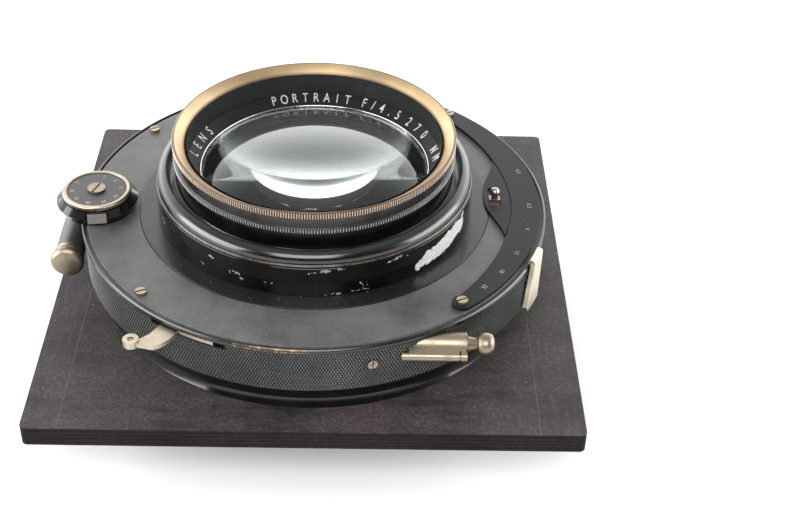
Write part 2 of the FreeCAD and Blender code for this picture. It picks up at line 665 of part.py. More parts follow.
def aperture_scale():
    """Crescent scale plate with tapered round ends, held by two screws."""
    edge = [polar(r, a) for r, a in SCALE_EDGE]
    side = Part.BSplineCurve()
    side.interpolate(edge)
    first, last = SCALE_EDGE[0][1], SCALE_EDGE[-1][1]
    ends = [polar(SCALE_R_OUT, a) for a in (last, 0, first)]
    wire = Part.Wire([side.toShape(), Part.LineSegment(edge[-1], ends[0]).toShape(),
                      Part.Arc(ends[0], ends[1], ends[2]).toShape(),
                      Part.LineSegment(ends[2], edge[0]).toShape()])
    body = Part.Face(wire).extrude(V(0, 0, SCALE_T))
    body.translate(V(0, 0, FACE))
    end_r = SCALE_R_OUT - SCALE_SCREW_R
    for a in SCALE_SCREW_ANGLES:
        p = polar(SCALE_SCREW_R, a)
        body = body.fuse(disc(end_r, FACE, FACE + SCALE_T, p.x, p.y))
        body = body.cut(disc(SCREW_SHANK_R, FACE - 1, FACE + SCALE_T + 1, p.x, p.y))
    return body.removeSplitter()


# ---------------------------------------------------------------- speed dial
def dial_disc(radius, z0, z1):
    return disc(radius, z0, z1, DIAL_X, DIAL_Y)


def dial_base():
    """Black housing under the dial: a floor, a bevelled wall and the fixed post."""
    z0, z1 = FACE + FINE, DIAL_TOP - DIAL_RIM_T - GAP
    edge = z0 + DIAL_EDGE_Z
    outer = Part.makeCone(DIAL_BASE_R - 1.1, DIAL_BASE_R, DIAL_EDGE_Z, V(DIAL_X, DIAL_Y, z0), UP)
    bevel = Part.makeCone(DIAL_BASE_R, DIAL_R + 0.1, z1 - edge, V(DIAL_X, DIAL_Y, edge), UP)
    body = outer.fuse(bevel).cut(dial_disc(8.6, z0 + 0.6, z1 + 1))
    width = INDEX_W + 1.3
    notch = Part.makeBox(width, 4, 4, V(DIAL_X - width / 2, DIAL_Y - INDEX_SEAT - 4, z0 + INDEX_Z))
    notch.rotate(V(DIAL_X, DIAL_Y, 0), UP, INDEX_TURN)
    return union([body.cut(notch), dial_disc(DIAL_POST_R, z0, DIAL_TOP - 1.0)])


def dial_index():
    """Bright pad in the notch at the front of the dial's housing, its face sloping back."""
    z0 = FACE + INDEX_Z + FINE
    seat = DIAL_Y - INDEX_SEAT
    outline = [(seat, z0), (seat - 1.5, z0), (seat - 0.4, z0 + 2.3), (seat, z0 + 2.3)]
    corners = [V(DIAL_X - INDEX_W / 2, y, z) for y, z in outline]
    pad = Part.Face(Part.makePolygon(corners + [corners[0]])).extrude(V(INDEX_W, 0, 0))
    pad.rotate(V(DIAL_X, DIAL_Y, 0), UP, INDEX_TURN)
    return pad


def speed_cam():
    """Stepped disc under the dial that sets how far the brake may run."""
    z0 = FACE + 0.9
    body = dial_disc(5.4, z0, z0 + 1.2)
    for k in range(5):
        start = V(DIAL_X, DIAL_Y, z0)
        step = Part.makeCylinder(8.2 - 0.5 * k, 1.2, start, UP, 44)
        step.rotate(start, UP, 50 * k)
        body = body.fuse(step)
    return body.cut(dial_disc(DIAL_POST_R + RUN, z0 - 1, z0 + 2)).removeSplitter()


def speed_dial():
    """Coin-edged nickel dial with a sunk face and a hub down to the cam."""
    z0 = DIAL_TOP - DIAL_RIM_T
    body = dial_disc(DIAL_R, z0, DIAL_TOP - 0.3).fuse(dial_disc(DIAL_R - 0.3, z0, DIAL_TOP))
    body = body.cut(dial_disc(DIAL_R - 0.95, DIAL_TOP - 0.5, DIAL_TOP + 1))
    body = body.fuse(dial_disc(3.0, FACE + 2.1, z0))
    return body.cut(dial_disc(DIAL_POST_R + RUN, FACE, DIAL_TOP)).removeSplitter()


def dial_face():
    z0 = DIAL_TOP - 0.5
    return dial_disc(DIAL_R - 1.0, z0, z0 + 0.3).cut(dial_disc(1.6, z0 - 1, z0 + 1))


def dial_screw():
    """Wide flat-headed screw in the fixed post, with a straight slot."""
    z0 = DIAL_TOP - 0.15
    head = dial_disc(2.4, z0, z0 + 0.55)
    shank = dial_disc(1.3, DIAL_TOP - 1.0, z0 + 0.1)
    slot = Part.makeBox(6, 0.5, 0.5, V(DIAL_X - 3, DIAL_Y - 0.25, z0 + 0.25))
    slot.rotate(V(DIAL_X, DIAL_Y, 0), UP, 70)
    return head.fuse(shank).cut(slot).removeSplitter()


# ---------------------------------------------------------------- air brake
def brake_rod(radius, y0, y1):
    return rod(radius, V(BRAKE_X, y0, BRAKE_Z), ALONG_Y, y1 - y0)


def brake_cylinder():
    """Tube with a closed back end, slotted towards the drum for the piston's drive pin."""
    end = 1.6
    body = brake_rod(BRAKE_TUBE_R, BRAKE_FRONT, BRAKE_BACK)
    body = body.cut(brake_rod(BRAKE_BORE, BRAKE_FRONT - 1, BRAKE_BACK - end))
    slot = Part.makeBox(5, BRAKE_STROKE + 2.4, 2.0,
                        V(BRAKE_X, PISTON_Y - BRAKE_STROKE - 1.2, BRAKE_Z - 1.0))
    return body.cut(slot)


def brake_cap():
    """Nickel collar and round-edged cap that close the front of the tube."""
    y = BRAKE_FRONT
    collar = brake_rod(3.95, y - 1.5, y)
    plug = brake_rod(BRAKE_BORE - FINE, y - 0.5, y + 0.9)
    neck = brake_rod(3.3, y - 2.2, y - 1.5)
    cap = brake_rod(4.5, y - 4.9, y - 2.2)
    cap = cap.makeFillet(0.8, [e for e in cap.Edges if e.Curve.TypeId == "Part::GeomCircle"])
    return union([collar, plug, neck, cap])


def brake_piston():
    """Piston with its drive pin standing out through the slot into the drum."""
    body = brake_rod(BRAKE_BORE - RUN, PISTON_Y - 1.5, PISTON_Y + 3.6)
    groove = brake_rod(BRAKE_BORE, PISTON_Y + 1.8, PISTON_Y + 2.6).cut(
        brake_rod(BRAKE_BORE - 0.6, PISTON_Y + 1.6, PISTON_Y + 2.8))
    pin = rod(PISTON_PIN_R, V(BRAKE_X + 1, PISTON_Y, BRAKE_Z), ALONG_X, 7.9)
    return body.cut(groove).fuse(pin).removeSplitter()


# ---------------------------------------------------------------- cocking
def cocking_ring():
    """Ring round the hub with an arm out to the lever and a fork on the brake's pin."""
    z0, z1 = COCK_RING_Z, COCK_RING_Z + COCK_RING_T
    body = ring(COCK_RING_IN, COCK_RING_OUT, z0, z1)
    lever_arm = sector(COCK_RING_OUT - 0.5, LEVER_IN, z0, z1, COCK_ANGLE - 4, COCK_ANGLE + 4)
    fork_arm = sector(COCK_RING_OUT - 0.5, 59.0, z0, z1, FORK_ANGLE - 3, FORK_ANGLE + 3)
    tang = sector(57.2, 59.0, BRAKE_Z - 1.6, z1, FORK_ANGLE - 3, FORK_ANGLE + 3)
    mouth_w = 2 * PISTON_PIN_R + 0.8
    mouth = Part.makeBox(6, mouth_w, 3.6, V(55, -mouth_w / 2, BRAKE_Z - 2.6))
    return union([body, lever_arm, fork_arm, tang]).cut(turned(mouth, FORK_ANGLE))


def cocking_lever():
    """Thumb blade outside the drum, its top end rolled over the lip."""
    top = FACE + 0.7
    outline = [(1.8, top), (1.2, CASE_TOP + 7.5), (0.6, CASE_TOP + 0.2), (-6.8, CASE_TOP + 0.2),
               (-7.9, CASE_TOP + 1.9), (-6.3, CASE_TOP + 8.2), (-4.6, top)]
    corners = [V(LEVER_IN - 8, t, z) for t, z in outline]
    wedge = Part.Face(Part.makePolygon(corners + [corners[0]])).extrude(V(16, 0, 0))
    shell = ring(LEVER_IN, LEVER_IN + LEVER_T, CASE_TOP, top)
    curl_at = LEVER_IN + LEVER_T - CURL_R
    curl = Part.makeTorus(curl_at, CURL_R, V(0, 0, FACE + 0.6))
    curl = curl.common(sector(50, 70, FACE - 2, FACE + 2, COCK_ANGLE - 4.1, COCK_ANGLE + 1.6))
    return union([shell.common(turned(wedge, COCK_ANGLE)), curl])


def main_spring():
    """Open hoop of flat spring steel round the hub, with a foot turned out at each end."""
    z0, z1 = COCK_RING_Z + COCK_RING_T + 0.3, COCK_RING_Z + COCK_RING_T + 1.8
    hoop = sector(38.4, 39.0, z0, z1, 10, 320)
    feet = [sector(38.4, 42.0, z0, z1, a, a + 0.9) for a in (10, 319.1)]
    return union([hoop] + feet)


# ---------------------------------------------------------------- release
def release_blade(z0, z1):
    """Leaf-shaped thumb blade: straight on its left edge, bowed on its right edge."""
    left = [V(-34.0, -48.5, z0), V(-35.8, -51.2, z0), V(-38.3, -55.4, z0), V(-41.6, -58.4, z0),
            V(-41.1, -59.2, z0), V(-37.1, -60.2, z0)]
    right = [V(-31.7, -54.0, z0), V(-31.0, -50.0, z0)]
    bow = Part.Arc(left[-1], V(-33.5, -57.5, z0), right[0]).toShape()
    edges = Part.makePolygon(left).Edges + [bow] + Part.makePolygon(right + [left[0]]).Edges
    return Part.Face(Part.Wire(edges)).extrude(V(0, 0, z1 - z0))


def release_lever():
    """Flat lever: hub on the pivot, sector in the drum's slot, blade and eyelet outside."""
    z0, z1 = RELEASE_Z, RELEASE_Z + RELEASE_T
    pivot = RELEASE_PIVOT
    inside = sector(50.0, DRUM_R, z0, z1, -125.0, -111.3)
    hub = bar(pivot, polar(53.0, -118), 5.0, z0, z1)
    eye = polar(EYELET_AT_R, EYELET_ANGLE)
    eyelet = disc(EYELET_R, z0 - 0.3, z1 + 0.3, eye.x, eye.y)
    body = union([inside, hub, release_blade(z0, z1), eyelet])
    body = body.cut(disc(EYELET_BORE, z0 - 1, z1 + 1, eye.x, eye.y))
    return body.cut(disc(POST_R + 0.4 + RUN, z0 - 1, z1 + 1, pivot.x, pivot.y))


def torsion_spring(x, y, z, coil_r, wire_r, turns, pitch):
    """Coil of round wire about a vertical axis."""
    helix = Part.makeHelix(pitch, pitch * turns, coil_r)
    section = Part.Wire(Part.makeCircle(wire_r, V(coil_r, 0, 0), ALONG_Y))
    coil = Part.Wire(helix.Edges).makePipeShell([section], True, True)
    coil.translate(V(x, y, z))
    return coil


def release_spring():
    low = UPPER_PLATE_Z + UPPER_PLATE_T + 0.5
    return torsion_spring(RELEASE_PIVOT.x, RELEASE_PIVOT.y, low, 1.9, 0.25, 3.0, 0.75)


def release_socket():
    """Cable-release socket: a barrel and a lower guide rod, both trimmed to the drum."""
    barrel = rod(SOCKET_R, V(20, SOCKET_Y, SOCKET_Z), ALONG_X, SOCKET_END - 20)
    guide = rod(GUIDE_R, V(GUIDE_START, GUIDE_Y, GUIDE_Z), ALONG_X, SOCKET_END - GUIDE_START)
    web = Part.makeBox(14, 3.6, 1.6, V(25, GUIDE_Y, GUIDE_Z - 0.1))
    web.rotate(V(25, GUIDE_Y, GUIDE_Z), ALONG_X, 22)
    body = union([barrel, guide, web]).cut(disc(DRUM_R, BOARD, FACE))
    groove = rod(GUIDE_R + 0.4, V(37.4, GUIDE_Y, GUIDE_Z), ALONG_X, 0.4).cut(
        rod(GUIDE_R - 0.3, V(37.0, GUIDE_Y, GUIDE_Z), ALONG_X, 3))
    body = body.cut(groove.cut(rod(SOCKET_R, V(20, SOCKET_Y, SOCKET_Z), ALONG_X, 30)))
    recess = rod(2.3, V(SOCKET_END - 3.5, SOCKET_Y, SOCKET_Z), ALONG_X, 4)
    return body.cut(rod(PLUNGER_R + RUN, V(10, SOCKET_Y, SOCKET_Z), ALONG_X, 40)).cut(recess)


def release_plunger():
    """Sprung plunger: rounded head, waisted neck and a rod through the socket and drum wall."""
    head_start = SOCKET_END + 2.3
    shaft = rod(PLUNGER_R, V(22.0, SOCKET_Y, SOCKET_Z), ALONG_X, head_start - 22.0 + 1)
    neck = Part.makeCone(2.1, 1.5, 2.4, V(head_start - 2.2, SOCKET_Y, SOCKET_Z), ALONG_X)
    head = rod(2.9, V(head_start, SOCKET_Y, SOCKET_Z), ALONG_X, 4.6)
    head = head.makeFillet(1.9, [e for e in head.Edges if e.Curve.TypeId == "Part::GeomCircle"])
    return union([shaft, neck, head])


# ---------------------------------------------------------------- build
def main():
    os.makedirs("parts", exist_ok=True)
    front, front_inner, rear_inner, rear, spacer_top, spacer_low = glass()
    front_seat = min(v.Z for v in front_inner.Vertexes if math.hypot(v.X, v.Y) > 1)
    rear_seat = max(v.Z for v in rear_inner.Vertexes if math.hypot(v.X, v.Y) > 1)
    panel, cleats = board_pieces()
    made = {
        "board_panel": panel, "board_cleats": cleats, "retaining_ring": retaining_ring(),
        "shutter_back": shutter_back(), "drum": drum(), "mid_plate": mid_plate(),
        "upper_plate": upper_plate(), "face_plate": face_plate(), "face_screws": face_screws(),
        "side_screw": side_screw(), "aperture_ring": aperture_ring(),
        "aperture_pointer": aperture_pointer(), "pointer_knob": pointer_knob(),
        "aperture_link": aperture_link(), "iris_cam_ring": iris_cam_ring(),
        "shutter_drive_ring": shutter_drive_ring(), "aperture_scale": aperture_scale(),
        "dial_base": dial_base(), "speed_cam": speed_cam(), "speed_dial": speed_dial(),
        "dial_face": dial_face(), "dial_screw": dial_screw(), "dial_index": dial_index(),
        "brake_cylinder": brake_cylinder(),
        "brake_cap": brake_cap(), "brake_piston": brake_piston(), "cocking_ring": cocking_ring(),
        "cocking_lever": cocking_lever(), "main_spring": main_spring(),
        "release_lever": release_lever(), "release_spring": release_spring(),
        "release_socket": release_socket(), "release_plunger": release_plunger(),
        "front_barrel": front_barrel(), "front_cell": front_cell(front_seat),
        "knurled_collar": knurled_collar(), "front_rim": front_rim(), "name_ring": name_ring(),
        "front_glass": front, "front_inner_glass": front_inner, "rear_inner_glass": rear_inner,
        "rear_glass": rear, "rear_cell": rear_cell(rear_seat), "rear_retainer": rear_retainer(),
        "front_spacer": spacer(spacer_top - SPACER_T, spacer_top),
        "rear_spacer": spacer(spacer_low + SPACER_T, spacer_low),
    }
    for i in range(IRIS_BLADES):
        made["iris_blade_%d" % (i + 1)] = blade(IRIS, i)
    for i in range(SHUTTER_BLADES):
        made["shutter_blade_%d" % (i + 1)] = blade(SHUTTER, i)
    for name, shape in made.items():
        save(name, shape)


main()
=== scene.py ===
import math

import bmesh
import bpy
from mathutils import Matrix, Vector, noise


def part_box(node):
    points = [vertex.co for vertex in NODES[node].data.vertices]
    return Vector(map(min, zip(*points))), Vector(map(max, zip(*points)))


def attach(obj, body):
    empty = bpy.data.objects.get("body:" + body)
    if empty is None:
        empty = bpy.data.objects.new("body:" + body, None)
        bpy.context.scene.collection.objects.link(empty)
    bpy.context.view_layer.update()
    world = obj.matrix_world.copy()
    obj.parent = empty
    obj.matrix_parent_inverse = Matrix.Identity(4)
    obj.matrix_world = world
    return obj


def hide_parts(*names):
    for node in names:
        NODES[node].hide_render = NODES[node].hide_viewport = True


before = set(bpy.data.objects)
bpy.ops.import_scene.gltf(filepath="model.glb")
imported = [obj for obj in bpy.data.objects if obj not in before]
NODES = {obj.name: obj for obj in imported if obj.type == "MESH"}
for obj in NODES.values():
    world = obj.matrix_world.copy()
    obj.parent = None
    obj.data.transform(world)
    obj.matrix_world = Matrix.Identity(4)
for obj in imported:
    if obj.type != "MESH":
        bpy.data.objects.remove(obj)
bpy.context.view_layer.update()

MM = 0.001
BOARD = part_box("board_panel")[1].z / MM          # front face of the board, in mm
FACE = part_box("face_plate")[1].z / MM            # front face of the shutter
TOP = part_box("front_rim")[1].z / MM              # highest point
BARREL_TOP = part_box("front_barrel")[1].z / MM
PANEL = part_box("board_panel")
TONGUE = 2.4                    # how far the panel reaches into its end cleats
DRUM_R = 62.5                   # knurled drum
CASE_R = 58.2                   # smooth casing under the drum
BARREL_R = 42.6                 # enamelled front barrel
NECK_R = 36.9                   # neck of the front cell
BORE_R = 35.9                   # bore of the neck, round the lettered ring
RECESS_R = 33.9                 # black bore in front of the lettered ring
GLASS_SEAT_R = 31.3             # bore that holds the front glasses
GLASS_R = 31.2                  # edge of every glass
RING_R = 30.6                   # bore of the lettered ring
DRUM_TEETH, DRUM_ROWS = 512, 16
COLLAR_R, COLLAR_TEETH = 37.62, 330     # knurl of the collar under the front rim
RIM_R, RIM_TEETH = 37.66, 360           # knurl of the front rim
DIAL_R, DIAL_TEETH = 9.14, 110          # knurl of the speed dial
# slots in the drum's wall: from and to in degrees, from and to in height above the board
RELEASE_SLOT = (-128.4, -108.0, 18.9, 20.5)
COCK_SLOT = (-27.9, -4.1, 16.0, 17.6)
SIDE_SCREW = (-75.1, 16.2, 1.0)                  # angle, height above the board, radius
BRAKE_SEAT = (-65.6, 13.5, 3.9, -14.8, 11.7)     # x, height, radius, from and to in y
X_AXIS = Vector((1, 0, 0))
Y_AXIS = Vector((0, 1, 0))
Z_AXIS = Vector((0, 0, 1))


# ---------------------------------------------------------------- mesh helpers
def new_object(name, mesh):
    obj = bpy.data.objects.new(name, mesh)
    bpy.context.scene.collection.objects.link(obj)
    return obj


def finish_mesh(name, verts, faces, sharp=32.0):
    """Closed up mesh in metres from vertices in millimetres, smooth except at sharp edges."""
    mesh = bpy.data.meshes.new(name)
    mesh.from_pydata([Vector(v) * MM for v in verts], [], faces)
    bm = bmesh.new()
    bm.from_mesh(mesh)
    bmesh.ops.remove_doubles(bm, verts=bm.verts, dist=1e-7)
    bmesh.ops.recalc_face_normals(bm, faces=bm.faces)
    bm.to_mesh(mesh)
    bm.free()
    mesh.shade_smooth()
    mesh.set_sharp_from_angle(angle=math.radians(sharp))
    return new_object(name, mesh)


def soften(profile, size):
    """Rounds the corners of a closed profile by a curve about size across.

    A point is added just outside each curve, so that the long faces beside it shade flat.
    """
    steps, hold = 3, 0.04
    points = []
    count = len(profile)
    for i, p in enumerate(profile):
        p = Vector(p)
        before, after = Vector(profile[i - 1]), Vector(profile[(i + 1) % count])
        a, b = before - p, after - p
        turn = a.angle(b, math.pi) if a.length and b.length else math.pi
        if turn > math.radians(160) or p.x <= 0:
            points.append(tuple(p))
            continue
        start = p + a.normalized() * min(size, a.length * 0.45)
        end = p + b.normalized() * min(size, b.length * 0.45)
        points.append(tuple(start + (before - start) * hold))
        for k in range(steps + 1):
            t = k / steps
            q = start * (1 - t) ** 2 + p * 2 * t * (1 - t) + end * t ** 2
            points.append(tuple(q))
        points.append(tuple(end + (after - end) * hold))
    return points


def lathe(name, profile, segments=256, edge=0.12, centre=(0, 0, 0), axis=Z_AXIS):
    """Solid of revolution. Profile corners are (radius, distance along the axis) in mm."""
    if edge:
        profile = soften(profile, edge)
    n = len(profile)
    turn = Z_AXIS.rotation_difference(axis).to_matrix()
    base = Vector(centre)
    verts, faces = [], []
    for k in range(segments):
        a = 2 * math.pi * k / segments
        for r, z in profile:
            verts.append(base + turn @ Vector((r * math.cos(a), r * math.sin(a), z)))
    for k in range(segments):
        m = (k + 1) % segments
        for i in range(n):
            j = (i + 1) % n
            if profile[i][0] == 0 and profile[j][0] == 0:
                continue
            faces.append((k * n + i, m * n + i, m * n + j, k * n + j))
    return finish_mesh(name, verts, faces)


def arc(start, middle, end, steps=14):
    """Points of a smooth bow from start to end that passes near middle."""
    s, m, e = Vector(start), Vector(middle), Vector(end)
    control = m * 2 - (s + e) / 2
    return [tuple(s * (1 - t) ** 2 + control * 2 * t * (1 - t) + e * t ** 2)
            for t in (k / steps for k in range(steps + 1))]


def straight_knurl(name, radius, z0, z1, teeth, depth, centre=(0, 0)):
    """Band of straight teeth round an axis, sloping down to their valleys at both ends."""
    slope = 0.14
    heights = (z0, z0 + slope, z1 - slope, z1)
    count = 2 * teeth
    verts, faces = [], []
    for j, z in enumerate(heights):
        for k in range(count):
            crest = k % 2 == 1 and 0 < j < len(heights) - 1
            r = radius - (0 if crest else depth)
            a = 2 * math.pi * k / count
            verts.append((centre[0] + r * math.cos(a), centre[1] + r * math.sin(a), z))
    for j in range(len(heights) - 1):
        for k in range(count):
            m = (k + 1) % count
            faces.append((j * count + k, j * count + m, (j + 1) * count + m, (j + 1) * count + k))
    return finish_mesh(name, verts, faces, sharp=20.0)


def diamond_knurl(name, radius, z0, z1, points, rows, depth, keep):
    """Band of small pyramids round the lens axis, each row offset by half a pitch."""
    count = 2 * points
    verts, faces = [], []
    for j in range(rows + 1):
        z = z0 + (z1 - z0) * j / rows
        for k in range(count):
            crest = (j + k) % 2 == 0 and 0 < j < rows
            r = radius - (0 if crest else depth)
            a = 2 * math.pi * k / count
            verts.append((r * math.cos(a), r * math.sin(a), z))
    for j in range(rows):
        z = z0 + (z1 - z0) * (j + 0.5) / rows
        for k in range(count):
            if not keep(math.degrees(2 * math.pi * (k + 0.5) / count), z):
                continue
            m = (k + 1) % count
            low, high = j * count, (j + 1) * count
            if (j + k) % 2 == 0:
                faces += [(low + k, low + m, high + k), (low + m, high + m, high + k)]
            else:
                faces += [(low + k, low + m, high + m), (low + k, high + m, high + k)]
    return finish_mesh(name, verts, faces, sharp=12.0)


def bevel(obj, width):
    """Rounds the sharp edges of a CAD node by a width in mm."""
    mod = obj.modifiers.new("edges", "BEVEL")
    mod.width = width * MM
    mod.segments = 2
    mod.limit_method = "ANGLE"
    mod.angle_limit = math.radians(40)


def piece(obj, body, slot, material, *nodes):
    """Gives a piece its material and body, and hides the CAD nodes it stands for. The slot is not
    used.
    """
    obj.data.materials.clear()
    obj.data.materials.append(material)
    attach(obj, body)
    if nodes:
        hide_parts(*nodes)
    return obj


# ---------------------------------------------------------------- shader helper
class Shader:
    """Builds one node material. Its lengths are in millimetres."""

    def __init__(self, name):
        self.material = bpy.data.materials.new(name)
        self.material.use_nodes = True
        self.tree = self.material.node_tree
        self.tree.nodes.clear()
        coords = self.add("ShaderNodeTexCoord")
        self.mm = self.vector("SCALE", coords.outputs["Object"], scale=1000.0)
        parts = self.add("ShaderNodeSeparateXYZ", Vector=self.mm)
        self.x, self.y, self.z = parts.outputs

    def add(self, kind, props=None, **inputs):
        node = self.tree.nodes.new(kind)
        for key, value in (props or {}).items():
            setattr(node, key, value)
        for key, value in inputs.items():
            self.put(node.inputs[key.replace("_", " ")], value)
        return node

    def put(self, socket, value):
        if isinstance(value, bpy.types.Node):
            value = value.outputs[0]
        if isinstance(value, bpy.types.NodeSocket):
            self.tree.links.new(value, socket)
        elif hasattr(value, "__len__") and len(value) == 3 and len(socket.default_value) == 4:
            socket.default_value = (*value, 1.0)
        else:
            socket.default_value = value

    def math(self, op, a, b=None):
        node = self.tree.nodes.new("ShaderNodeMath")
        node.operation = op
        for socket, value in zip(node.inputs, (a, b)):
            if value is not None:
                self.put(socket, value)
        return node.outputs[0]

    def vector(self, op, a, b=None, scale=None):
        node = self.tree.nodes.new("ShaderNodeVectorMath")
        node.operation = op
        self.put(node.inputs[0], a)
        if b is not None:
            self.put(node.inputs[1], b)
        if scale is not None:
            self.put(node.inputs["Scale"], scale)
        return node.outputs[0]

    def noise(self, scale, detail=3.0, rough=0.55, vector=None, distortion=0.0):
        """Noise from 0 to 1 with scale waves per millimetre."""
        node = self.add("ShaderNodeTexNoise", Vector=vector or self.mm, Scale=scale, Detail=detail,
                        Roughness=rough, Distortion=distortion)
        return node.outputs[0]

    def stretch(self, x, y, z):
        return self.vector("MULTIPLY", self.mm, (x, y, z))

    def ramp(self, value, low, high, out_low=0.0, out_high=1.0):
        """Smooth step from out_low to out_high as the value goes from low to high."""
        node = self.add("ShaderNodeMapRange", {"interpolation_type": "SMOOTHSTEP"})
        for socket, v in zip(node.inputs[:5], (value, low, high, out_low, out_high)):
            self.put(socket, v)
        return node.outputs[0]

    def mix(self, factor, a, b):
        """Colour that goes from a to b as the factor goes from 0 to 1."""
        node = self.add("ShaderNodeMix", {"data_type": "RGBA"})
        self.put(node.inputs[0], factor)
        self.put(node.inputs[6], a)
        self.put(node.inputs[7], b)
        return node.outputs[2]

    def band(self, value, low, high, edge):
        """1 from low to high and 0 outside, softened over edge."""
        return self.math("MULTIPLY", self.ramp(value, low, low + edge),
                         self.ramp(value, high - edge, high, 1.0, 0.0))

    def angle(self):
        """Angle about the lens axis from +X, in degrees from -180 to 180."""
        return self.math("DEGREES", self.math("ARCTAN2", self.y, self.x))

    def radius(self):
        """Distance from the lens axis in mm."""
        return self.math("SQRT", self.math("ADD", self.math("MULTIPLY", self.x, self.x),
                                           self.math("MULTIPLY", self.y, self.y)))

    def rings(self, count, detail, rough=0.55):
        """Noise that only changes with the distance from the lens axis."""
        at = self.add("ShaderNodeCombineXYZ", X=self.math("MULTIPLY", self.radius(), count))
        return self.noise(1.0, detail, rough, vector=at)

    def bump(self, height, strength, distance):
        """Normal of a bumpy surface, distance being the height's reach in mm."""
        return self.add("ShaderNodeBump", Height=height, Strength=strength, Distance=distance * MM)

    def surface(self, **inputs):
        shader = self.add("ShaderNodeBsdfPrincipled", **inputs)
        out = self.add("ShaderNodeOutputMaterial")
        self.put(out.inputs["Surface"], shader.outputs[0])
        return self.material


# ---------------------------------------------------------------- materials
def lacquer(name, dark=0.03, light=0.05, rough=0.42, dust=True, brushed=0.35, shine=0.5):
    """Thin satin black lacquer: faint circular brushing, cloudy sheen and specks of dust."""
    s = Shader(name)
    cloud = s.noise(0.07, 6, 0.62)
    fine = s.noise(1.6, 5, 0.7)
    rings = s.rings(6.0, 3)
    mottle = s.math("ADD", s.math("MULTIPLY", cloud, 0.6), s.math("MULTIPLY", fine, 0.4))
    colour = s.mix(s.ramp(mottle, 0.3, 0.7), (dark,) * 3, (light, light * 0.98, light * 0.95))
    if dust:
        speck = s.math("GREATER_THAN", s.noise(1.3, 2, 0.6), 0.73)
        colour = s.mix(s.math("MULTIPLY", speck, 0.35), colour, (0.35, 0.34, 0.3))
    roughness = s.ramp(mottle, 0.25, 0.75, rough - 0.07, rough + 0.09)
    normal = s.bump(s.math("ADD", fine, s.math("MULTIPLY", rings, brushed)), 0.12, 0.05)
    return s.surface(Base_Color=colour, Roughness=roughness, Normal=normal,
                     Specular_IOR_Level=shine)


def enamel(name, rough=0.06):
    """Glossy black enamel with a slight ripple and fine handling marks."""
    s = Shader(name)
    black = (0.0018, 0.0018, 0.002)
    marks = s.noise(1.3, 5, 0.7)
    roughness = s.ramp(marks, 0.35, 0.75, rough, rough + 0.08)
    tint = s.mix(s.ramp(s.noise(0.12, 3), 0.35, 0.7), black, tuple(c * 2.6 for c in black))
    normal = s.bump(s.noise(0.35, 2), 0.03, 0.2)
    return s.surface(Base_Color=tint, Roughness=roughness, Normal=normal, Specular_IOR_Level=0.4)


def metal(name, colour, dull, rough=0.28, grime=0.5, scratch=0.3, shade_strength=0.8):
    """Bare metal with patches of tarnish, fine scratches, small pits and painted shade darkening
    its corners.
    """
    s = Shader(name)
    patch = s.ramp(s.noise(0.35, 5, 0.65), 0.42, 0.68)
    base = s.mix(s.math("MULTIPLY", patch, grime), colour, dull)
    fine = s.noise(3.0, 4, 0.7)
    pits = s.ramp(fine, 0.22, 0.36, 1.0, 0.0)
    base = s.mix(s.math("MULTIPLY", pits, 0.3), base, tuple(c * 0.3 for c in dull))
    # painted shade: ambient occlusion darkens the colour in corners, slots and crevices
    corner = s.add("ShaderNodeAmbientOcclusion", {"samples": 6}, Distance=0.9 * MM).outputs["AO"]
    painted_corner_shade = s.math("MULTIPLY", s.ramp(corner, 0.25, 0.75, 1.0, 0.0), shade_strength)
    base = s.mix(painted_corner_shade, base, tuple(c * 0.12 for c in dull))
    roughness = s.math("ADD", s.math("MULTIPLY", patch, 0.14), rough)
    normal = s.bump(s.noise(1.6, 4, 0.7, vector=s.stretch(1, 1, 5)), scratch * 0.3, 0.04)
    return s.surface(Base_Color=base, Metallic=1.0, Roughness=roughness, Normal=normal)


def turned_brass(name):
    """Smooth lacquered brass turned on a lathe: fine rings, browner towards its edges."""
    s = Shader(name)
    rings = s.rings(5.0, 4, 0.6)
    cloud = s.noise(0.09, 3)
    base = s.mix(s.ramp(cloud, 0.35, 0.65), (0.44, 0.325, 0.19), (0.37, 0.27, 0.16))
    base = s.mix(s.ramp(rings, 0.4, 0.75, 0.0, 0.25), base, (0.40, 0.27, 0.15))
    outer = s.ramp(s.radius(), 36.85, 37.15)          # the bevel ends at radius 37.05
    inner = s.ramp(s.radius(), 34.3, 35.2, 1.0, 0.0)  # and starts at radius 34.35
    base = s.mix(s.math("MULTIPLY", s.math("MAXIMUM", outer, inner), 0.9), base, (0.09, 0.06, 0.04))
    roughness = s.ramp(rings, 0.3, 0.7, 0.36, 0.46)
    return s.surface(Base_Color=base, Metallic=1.0, Roughness=roughness,
                     Normal=s.bump(rings, 0.04, 0.03))


